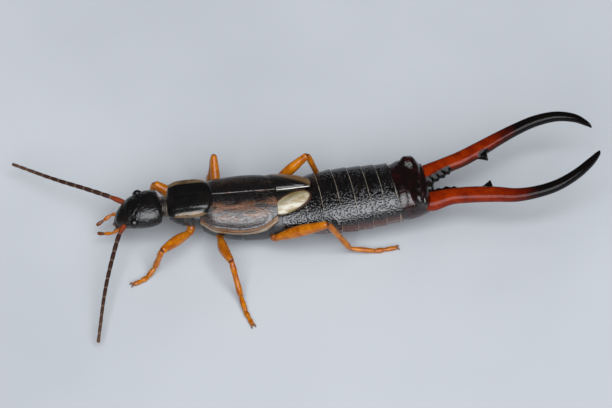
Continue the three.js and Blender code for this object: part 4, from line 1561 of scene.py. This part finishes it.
@dataclass
class Feeler:
    """One feeler of a thick first segment and a row of beads.

    Attributes:
        side: the side of the head.
        places: points of its middle line from the root to the tip.
        beads: how many beads follow the first segment.
        scape: the first segment's radius.
        root: the first bead's radius.
        tip: the last bead's radius.
        scape_share: the first segment's share of the length.
        hairs: how many hairs it has.
        hair_span: where along it the hairs begin and end, as shares of its length.
        hair_depth: how far from the middle line they start, as a share of the last bead's radius.
        hair_lean: how much they lean towards the tip.
    """

    side: Side
    places: Rows
    beads: int = 12
    scape: float = 0.12
    root: float = 0.1
    tip: float = 0.07
    scape_share: float = 0.14
    hairs: int = 380
    hair_span: Pair = (0.2, 0.99)
    hair_depth: float = 0.7
    hair_lean: float = 0.9

    def build(self, horn: Material) -> None:
        """Makes the feeler.

        Args:
            horn: its finish.
        """
        bead = (1 - self.scape_share) / self.beads

        def phase(v: ARRAY) -> ARRAY:
            """The share along the bead at v."""
            return ((v - self.scape_share) / bead) % 1

        def size(t: ARRAY) -> ARRAY:
            """Radius at t, narrow between beads."""
            full = self.root + (self.tip - self.root) * smooth(0.1, 1.0, t)
            middle = np.sin(math.pi * np.clip(phase(t) * 0.98 + 0.01, 0, 1))
            swell = 0.5 + 0.5 * np.sqrt(np.clip(middle, 0, 1))
            thick = self.scape * (0.75 + 0.35 * np.sin(math.pi * np.clip(t / self.scape_share, 0, 1)))
            radius = np.where(t < self.scape_share, thick, full * (0.62 + 0.5 * swell))
            return np.repeat(radius[:, None], 3, axis=1)

        name = f"feeler_{self.side.word}"
        sweep = Sweep(name, self._line, size, sides=24, rings=520, caps=(0.01, 0.01))
        sweep.marks["reach"] = lambda points, u, v: v
        between = lambda v: np.minimum(phase(v), 1 - phase(v))
        sweep.marks["ring"] = lambda points, u, v: bell(between(v), 0.04) * (v > self.scape_share * 0.9)
        body = sweep.build()
        hair = self._hair()
        store(hair, "reach", np.full(len(hair.data.vertices), 0.9))
        store(hair, "ring", np.zeros(len(hair.data.vertices)))
        hand_over(join([body, hair], name), horn, [f"antenna_{self.side.word}"])

    def _line(self, share: ARRAY) -> ARRAY:
        """Places at equal shares of the feeler's length."""
        dense = np.linspace(0, 1, 240)
        line = along_rows(self.places, dense)
        length = np.concatenate([[0], np.cumsum(np.linalg.norm(np.diff(line, axis=0), axis=1))])
        return along_rows(self.places, np.interp(share * length[-1], length, dense))

    def _hair(self) -> Piece:
        """Short hairs that lean towards the tip."""
        draw = np.random.default_rng(7 + self.side.value)
        t = draw.uniform(*self.hair_span, self.hairs)
        centre = self._line(t)
        tangent = unit(self._line(np.minimum(t + 0.01, 1)) - self._line(t - 0.01))
        away = unit(np.cross(tangent, draw.normal(size=(len(t), 3))))
        roots = centre + away * self.tip * self.hair_depth
        ways = unit(away + self.hair_lean * tangent)
        return bristles(f"feeler_hair_{self.side.word}", roots, ways, FEELER_HAIR)


@dataclass
class Leg:
    """One leg from its hip to its two claws.

    Attributes:
        node: the model's node for this leg.
        joints: hip, trochanter, knee, heel and the ends of the three foot segments.
        femur: half the thigh's thickness.
        bow: how far the thigh's middle stands off the straight line.
        shin: half the shin's thickness.
        foot: half the foot's thickness.
        hip_radii: the hip's radii from the body outwards.
        ring_radii: the ring's radii between hip and thigh.
        thigh_root: the thigh's radius at its root.
        thigh_shape: its further radii as shares of its half-thickness.
        thigh_flat: its width as a share of its height.
        shin_shape: the shin's radii as shares of its half-thickness.
        toe_sizes: half-thickness of each foot segment as a share of the foot's.
        toe_shape: a foot segment's radii as shares of its half-thickness.
        toe_flat: its width as a share of its height.
        hair_counts: how many hairs the shin and each foot segment have.
        hair_tint: how dark they are.
        hair_span: where along a segment its hairs begin and end, as shares of its length.
        hair_depth: how far from the middle they start, as a share of the segment's half-thickness.
        hair_lean: how much they lean towards the foot.
        claw_root: how far inside the foot's end a claw begins.
        claw_bend: how far ahead, how far out and how high over the floor it bends.
        claw_tip: the same for its tip.
        claw_radii: its radii.
    """

    node: str
    joints: Rows
    femur: float = 0.29
    bow: Triple = (0.0, 0.0, 0.06)
    shin: float = 0.15
    foot: float = 0.105
    hip_radii: tuple[float, ...] = (0.23, 0.21, 0.16)
    ring_radii: tuple[float, ...] = (0.15, 0.19, 0.16)
    thigh_root: float = 0.15
    thigh_shape: tuple[float, ...] = (0.8, 1.0, 0.97, 0.8, 0.62)
    thigh_flat: float = 0.86
    shin_shape: tuple[float, ...] = (0.8, 1.02, 0.92, 0.92, 1.0, 0.85)
    toe_sizes: Triple = (1.0, 1.05, 0.9)
    toe_shape: tuple[float, ...] = (0.7, 1.0, 1.05, 0.8)
    toe_flat: float = 1.15
    hair_counts: tuple[int, ...] = (70, 60, 26, 34)
    hair_tint: float = 0.35
    hair_span: Pair = (0.12, 0.98)
    hair_depth: float = 0.8
    hair_lean: float = 1.3
    claw_root: float = 0.04
    claw_bend: Triple = (0.12, 0.08, 0.16)
    claw_tip: Triple = (0.21, 0.1, 0.05)
    claw_radii: Triple = (0.045, 0.036, 0.01)

    def build(self, amber: Material) -> None:
        """Makes the leg.

        Args:
            amber: its finish.
        """
        hip, trochanter, knee, heel, *toes = self.joints
        name = self.node
        thigh = [self.thigh_root, *(share * self.femur for share in self.thigh_shape)]
        parts = [
            segment(f"{name}_hip", hip, trochanter, self.hip_radii),
            segment(f"{name}_ring", self._before(trochanter, hip, 0.16),
                    self._before(trochanter, knee, 0.14), self.ring_radii),
            segment(f"{name}_thigh", trochanter, self._before(knee, trochanter, -0.05), thigh, self.bow,
                    40, 56, self.thigh_flat),
            segment(f"{name}_shin", self._before(knee, heel, -0.04), heel,
                    [share * self.shin for share in self.shin_shape]),
        ]
        for i, (start, toe) in enumerate(zip([heel, *toes], toes)):
            radii = [share * self.foot * self.toe_sizes[i] for share in self.toe_shape]
            parts.append(segment(f"{name}_toe_{i}", self._before(start, toe, -0.05), toe, radii,
                                 flat=self.toe_flat))
        parts.extend(self._claws(toes[-2], toes[-1]))
        parts.append(self._hair(knee, heel, toes))
        leg = join(parts, f"{name}_horn")
        self._keep_above_floor(leg)
        hand_over(leg, amber, [self.node])

    @staticmethod
    def _before(place: list[float], other: list[float], distance: float) -> list[float]:
        """The point that lies a distance from a place towards another one."""
        way = unit(np.array(other) - np.array(place))
        return list(np.array(place) + way * distance)

    def _claws(self, before: list[float], end: list[float]) -> list[Piece]:
        """Two curved claws that spread from the foot's end."""
        ahead = np.array(end) - np.array(before)
        ahead[2] = 0
        ahead = unit(ahead)
        across = np.array([-ahead[1], ahead[0], 0.0])
        root = np.array(end) - ahead * self.claw_root
        claws = []
        for sign in (-1, 1):
            places = [list(root)]
            for forward, outward, height in (self.claw_bend, self.claw_tip):
                place = root + ahead * forward + across * sign * outward
                place[2] = height
                places.append(list(place))
            sweep = limb_sweep(f"{self.node}_claw_{sign}", places, self.claw_radii, sides=12, rings=16,
                               caps=(0.1, 0.05))
            sweep.marks["joint"] = lambda points, u, v: 0.5 + 0.5 * v
            claws.append(sweep.build())
        return claws

    def _hair(self, knee: list[float], heel: list[float], toes: Rows) -> Piece:
        """Fine hairs on the shin and the foot."""
        seed = sum(ord(letter) for letter in self.node)
        draw = np.random.default_rng(seed)
        path = np.array([knee, heel, *toes])
        roots = []
        ways = []
        for index, count in enumerate(self.hair_counts):
            start, end = path[index], path[index + 1]
            tangent = unit(end - start)
            radius = self.shin if index == 0 else self.foot
            for share in draw.uniform(*self.hair_span, count):
                away = unit(np.cross(tangent, draw.normal(size=3)))
                roots.append(start + (end - start) * share + away * radius * self.hair_depth)
                ways.append(unit(away + self.hair_lean * tangent))
        hair = bristles(f"{self.node}_hair", np.array(roots), np.array(ways), LEG_HAIR)
        store(hair, "joint", np.full(len(hair.data.vertices), self.hair_tint))
        return hair

    @staticmethod
    def _keep_above_floor(leg: Piece) -> None:
        """Presses what would dip under the floor flat on it."""
        points = np.empty(len(leg.data.vertices) * 3)
        leg.data.vertices.foreach_get("co", points)
        points = points.reshape(-1, 3)
        points[:, 2] = np.maximum(points[:, 2], FLOOR_GAP)
        place_vertices(leg, points)


FEELERS = [
    Feeler(Side.LEFT, [[-8.42, -0.42, 1.82], [-8.93, -1.04, 1.72], [-9.38, -2.3, 1.42], [-9.86, -4.1, 1.0],
                       [-10.31, -6.62, 0.5]]),
    Feeler(Side.RIGHT, [[-8.5, 0.5, 1.84], [-9.38, 0.99, 1.9], [-10.5, 1.62, 1.82], [-12.1, 2.62, 1.52],
                        [-13.95, 4.04, 1.0]]),
]

LEGS = [
    Leg("front_left_leg", [[-5.5, -0.4, 1.3], [-5.6, -0.84, 1.06], [-7.04, -2.33, 1.7], [-7.4, -2.32, 0.42],
                           [-7.78, -2.64, 0.12], [-8.06, -2.84, 0.12], [-8.46, -3.0, 0.12]]),
    Leg("front_right_leg", [[-5.5, 0.4, 1.3], [-5.62, 0.86, 1.06], [-7.19, 1.62, 1.86], [-7.4, 1.76, 0.42],
                            [-7.78, 1.7, 0.12], [-8.02, 1.66, 0.12], [-8.36, 1.58, 0.12]], femur=0.33),
    Leg("middle_left_leg", [[-4.2, -0.5, 1.0], [-4.22, -1.2, 1.04], [-3.78, -3.2, 1.7], [-3.42, -4.3, 0.36],
                            [-3.24, -5.06, 0.12], [-3.14, -5.36, 0.12], [-2.97, -5.82, 0.12]], femur=0.28,
        bow=(-0.1, 0.0, 0.06)),
    Leg("middle_right_leg", [[-4.2, 0.5, 1.0], [-4.22, 1.2, 1.04], [-4.24, 2.83, 2.3], [-4.5, 2.5, 0.4],
                             [-4.5, 3.1, 0.12], [-4.42, 3.36, 0.12], [-4.28, 3.72, 0.12]], femur=0.27),
    Leg("hind_left_leg", [[-1.5, -0.8, 0.8], [-1.66, -1.55, 1.14], [0.9, -2.18, 2.8], [1.98, -1.84, 0.38],
                          [3.2, -1.88, 0.12], [3.6, -1.84, 0.12], [4.2, -1.76, 0.12]], femur=0.3),
    Leg("hind_right_leg", [[-1.6, 0.9, 0.8], [-1.56, 1.55, 1.2], [0.23, 2.09, 2.8], [0.9, 2.36, 0.38],
                           [1.9, 2.74, 0.12], [2.22, 2.84, 0.12], [2.7, 3.0, 0.12]], femur=0.28),
]


@dataclass(frozen=True)
class Studio:
    """Floor, lights and camera.

    Attributes:
        elevation: how steeply the camera looks down.
        azimuth: how far it is turned about the vertical.
        distance: from the camera to its target, in millimetres.
        pixels_per_mm: the photograph's scale at the target.
        target_height: the target's height over the floor, in millimetres.
        picture_width: the photograph's width in pixels.
        sensor: the camera's sensor width in millimetres.
        sight: the nearest and furthest place that the camera shows, in metres.
        floor_half: half the floor's side in metres.
        floor_tints: the floor's two colours.
        air: the surroundings' colour.
        air_strength: their brightness.
    """

    elevation: float = math.radians(52.0)
    azimuth: float = math.radians(-4.3)
    distance: float = 220.0
    pixels_per_mm: float = 20.9
    target_height: float = 1.68
    picture_width: float = 612.0
    sensor: float = 36.0
    sight: Pair = (0.005, 10.0)
    floor_half: float = 0.6
    floor_tints: tuple[Triple, Triple] = ((0.38, 0.395, 0.415), (0.43, 0.445, 0.465))
    air: Triple = (0.85, 0.92, 1.0)
    air_strength: float = 0.05

    def _axes(self) -> tuple[Vector, Vector, Vector]:
        """The camera's right, up and forward directions."""
        right = Vector((math.cos(self.azimuth), math.sin(self.azimuth), 0))
        forward = Vector((
            -math.sin(self.azimuth) * math.cos(self.elevation),
            math.cos(self.azimuth) * math.cos(self.elevation),
            -math.sin(self.elevation),
        ))
        return right, right.cross(forward), forward

    def _target(self) -> Vector:
        """The point that the camera looks at, in the model's frame."""
        return PLACING.shift() + Vector((0, 0, self.target_height)) * METRES

    def camera(self) -> None:
        """Sets the camera where the photograph was taken from."""
        right, up, forward = self._axes()
        data = bpy.data.cameras.new("camera")
        data.sensor_fit = "HORIZONTAL"
        data.sensor_width = self.sensor
        data.lens = self.pixels_per_mm * self.distance * self.sensor / self.picture_width
        data.clip_start, data.clip_end = self.sight
        camera = bpy.data.objects.new("camera", data)
        bpy.context.collection.objects.link(camera)
        turn = Matrix((right, up, -forward)).transposed().to_4x4()
        camera.matrix_world = Matrix.Translation(self._target() - forward * self.distance * METRES) @ turn
        bpy.context.scene.camera = camera

    def floor(self) -> None:
        """Lays the pale floor."""
        deselect()
        bpy.ops.mesh.primitive_plane_add(size=2 * self.floor_half, location=(0, 0, 0))
        floor = bpy.context.active_object
        floor.name = "studio_floor"
        graph = Graph("floor_paint")
        blotches = graph.noise(0.05, 3.0)
        colour = graph.mix(graph.ramp(blotches, 0.3, 0.7), *self.floor_tints)
        floor.data.materials.append(graph.surface(colour, 0.75))

    def _softbox(self, name: str, place: Triple, size: float, power: float,
                 colour: Triple = (1.0, 1.0, 1.0), glints: bool = True) -> None:
        """Adds a soft square light that faces the model.

        Args:
            name: its name.
            place: where it hangs, in metres from the model.
            size: its side in metres.
            power: its power in watts.
            colour: its colour.
            glints: whether it shows in glossy surfaces.
        """
        data = bpy.data.lights.new(name, "AREA")
        data.size = size
        data.energy = power
        data.color = colour
        light = bpy.data.objects.new(name, data)
        light.location = place
        light.visible_glossy = glints
        light.rotation_euler = (Vector((0, 0, 0)) - Vector(place)).to_track_quat("-Z", "Y").to_euler()
        bpy.context.collection.objects.link(light)

    def lights(self) -> None:
        """Hangs the softboxes and sets a pale surrounding."""
        self._softbox("key_softbox", (0.02, -0.25, 0.34), 0.46, 3.9, (0.93, 0.96, 1.0))
        self._softbox("top_softbox", (0.0, 0.0, 0.45), 0.4, 0.4, glints=False)
        world = bpy.data.worlds.new("studio_air")
        world.use_nodes = True
        background = world.node_tree.nodes["Background"]
        background.inputs[0].default_value = (*self.air, 1.0)
        background.inputs[1].default_value = self.air_strength
        bpy.context.scene.world = world
        bpy.context.scene.view_settings.view_transform = "Standard"

    def build(self) -> None:
        """Sets up the whole studio."""
        self.camera()
        self.floor()
        self.lights()


def main() -> None:
    """Builds the studio and every part of the animal."""
    logging.basicConfig(level=logging.INFO)
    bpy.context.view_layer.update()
    Studio().build()
    Head().build()
    amber = Amber().make()
    Mouth().build(amber)
    ForeBody().build()
    WingCases().build()
    Abdomen().build()
    Forceps().build()
    horn = FeelerHorn().make()
    for feeler in FEELERS:
        feeler.build(horn)
    for leg in LEGS:
        leg.build(amber)


if __name__ == "__main__":
    main()
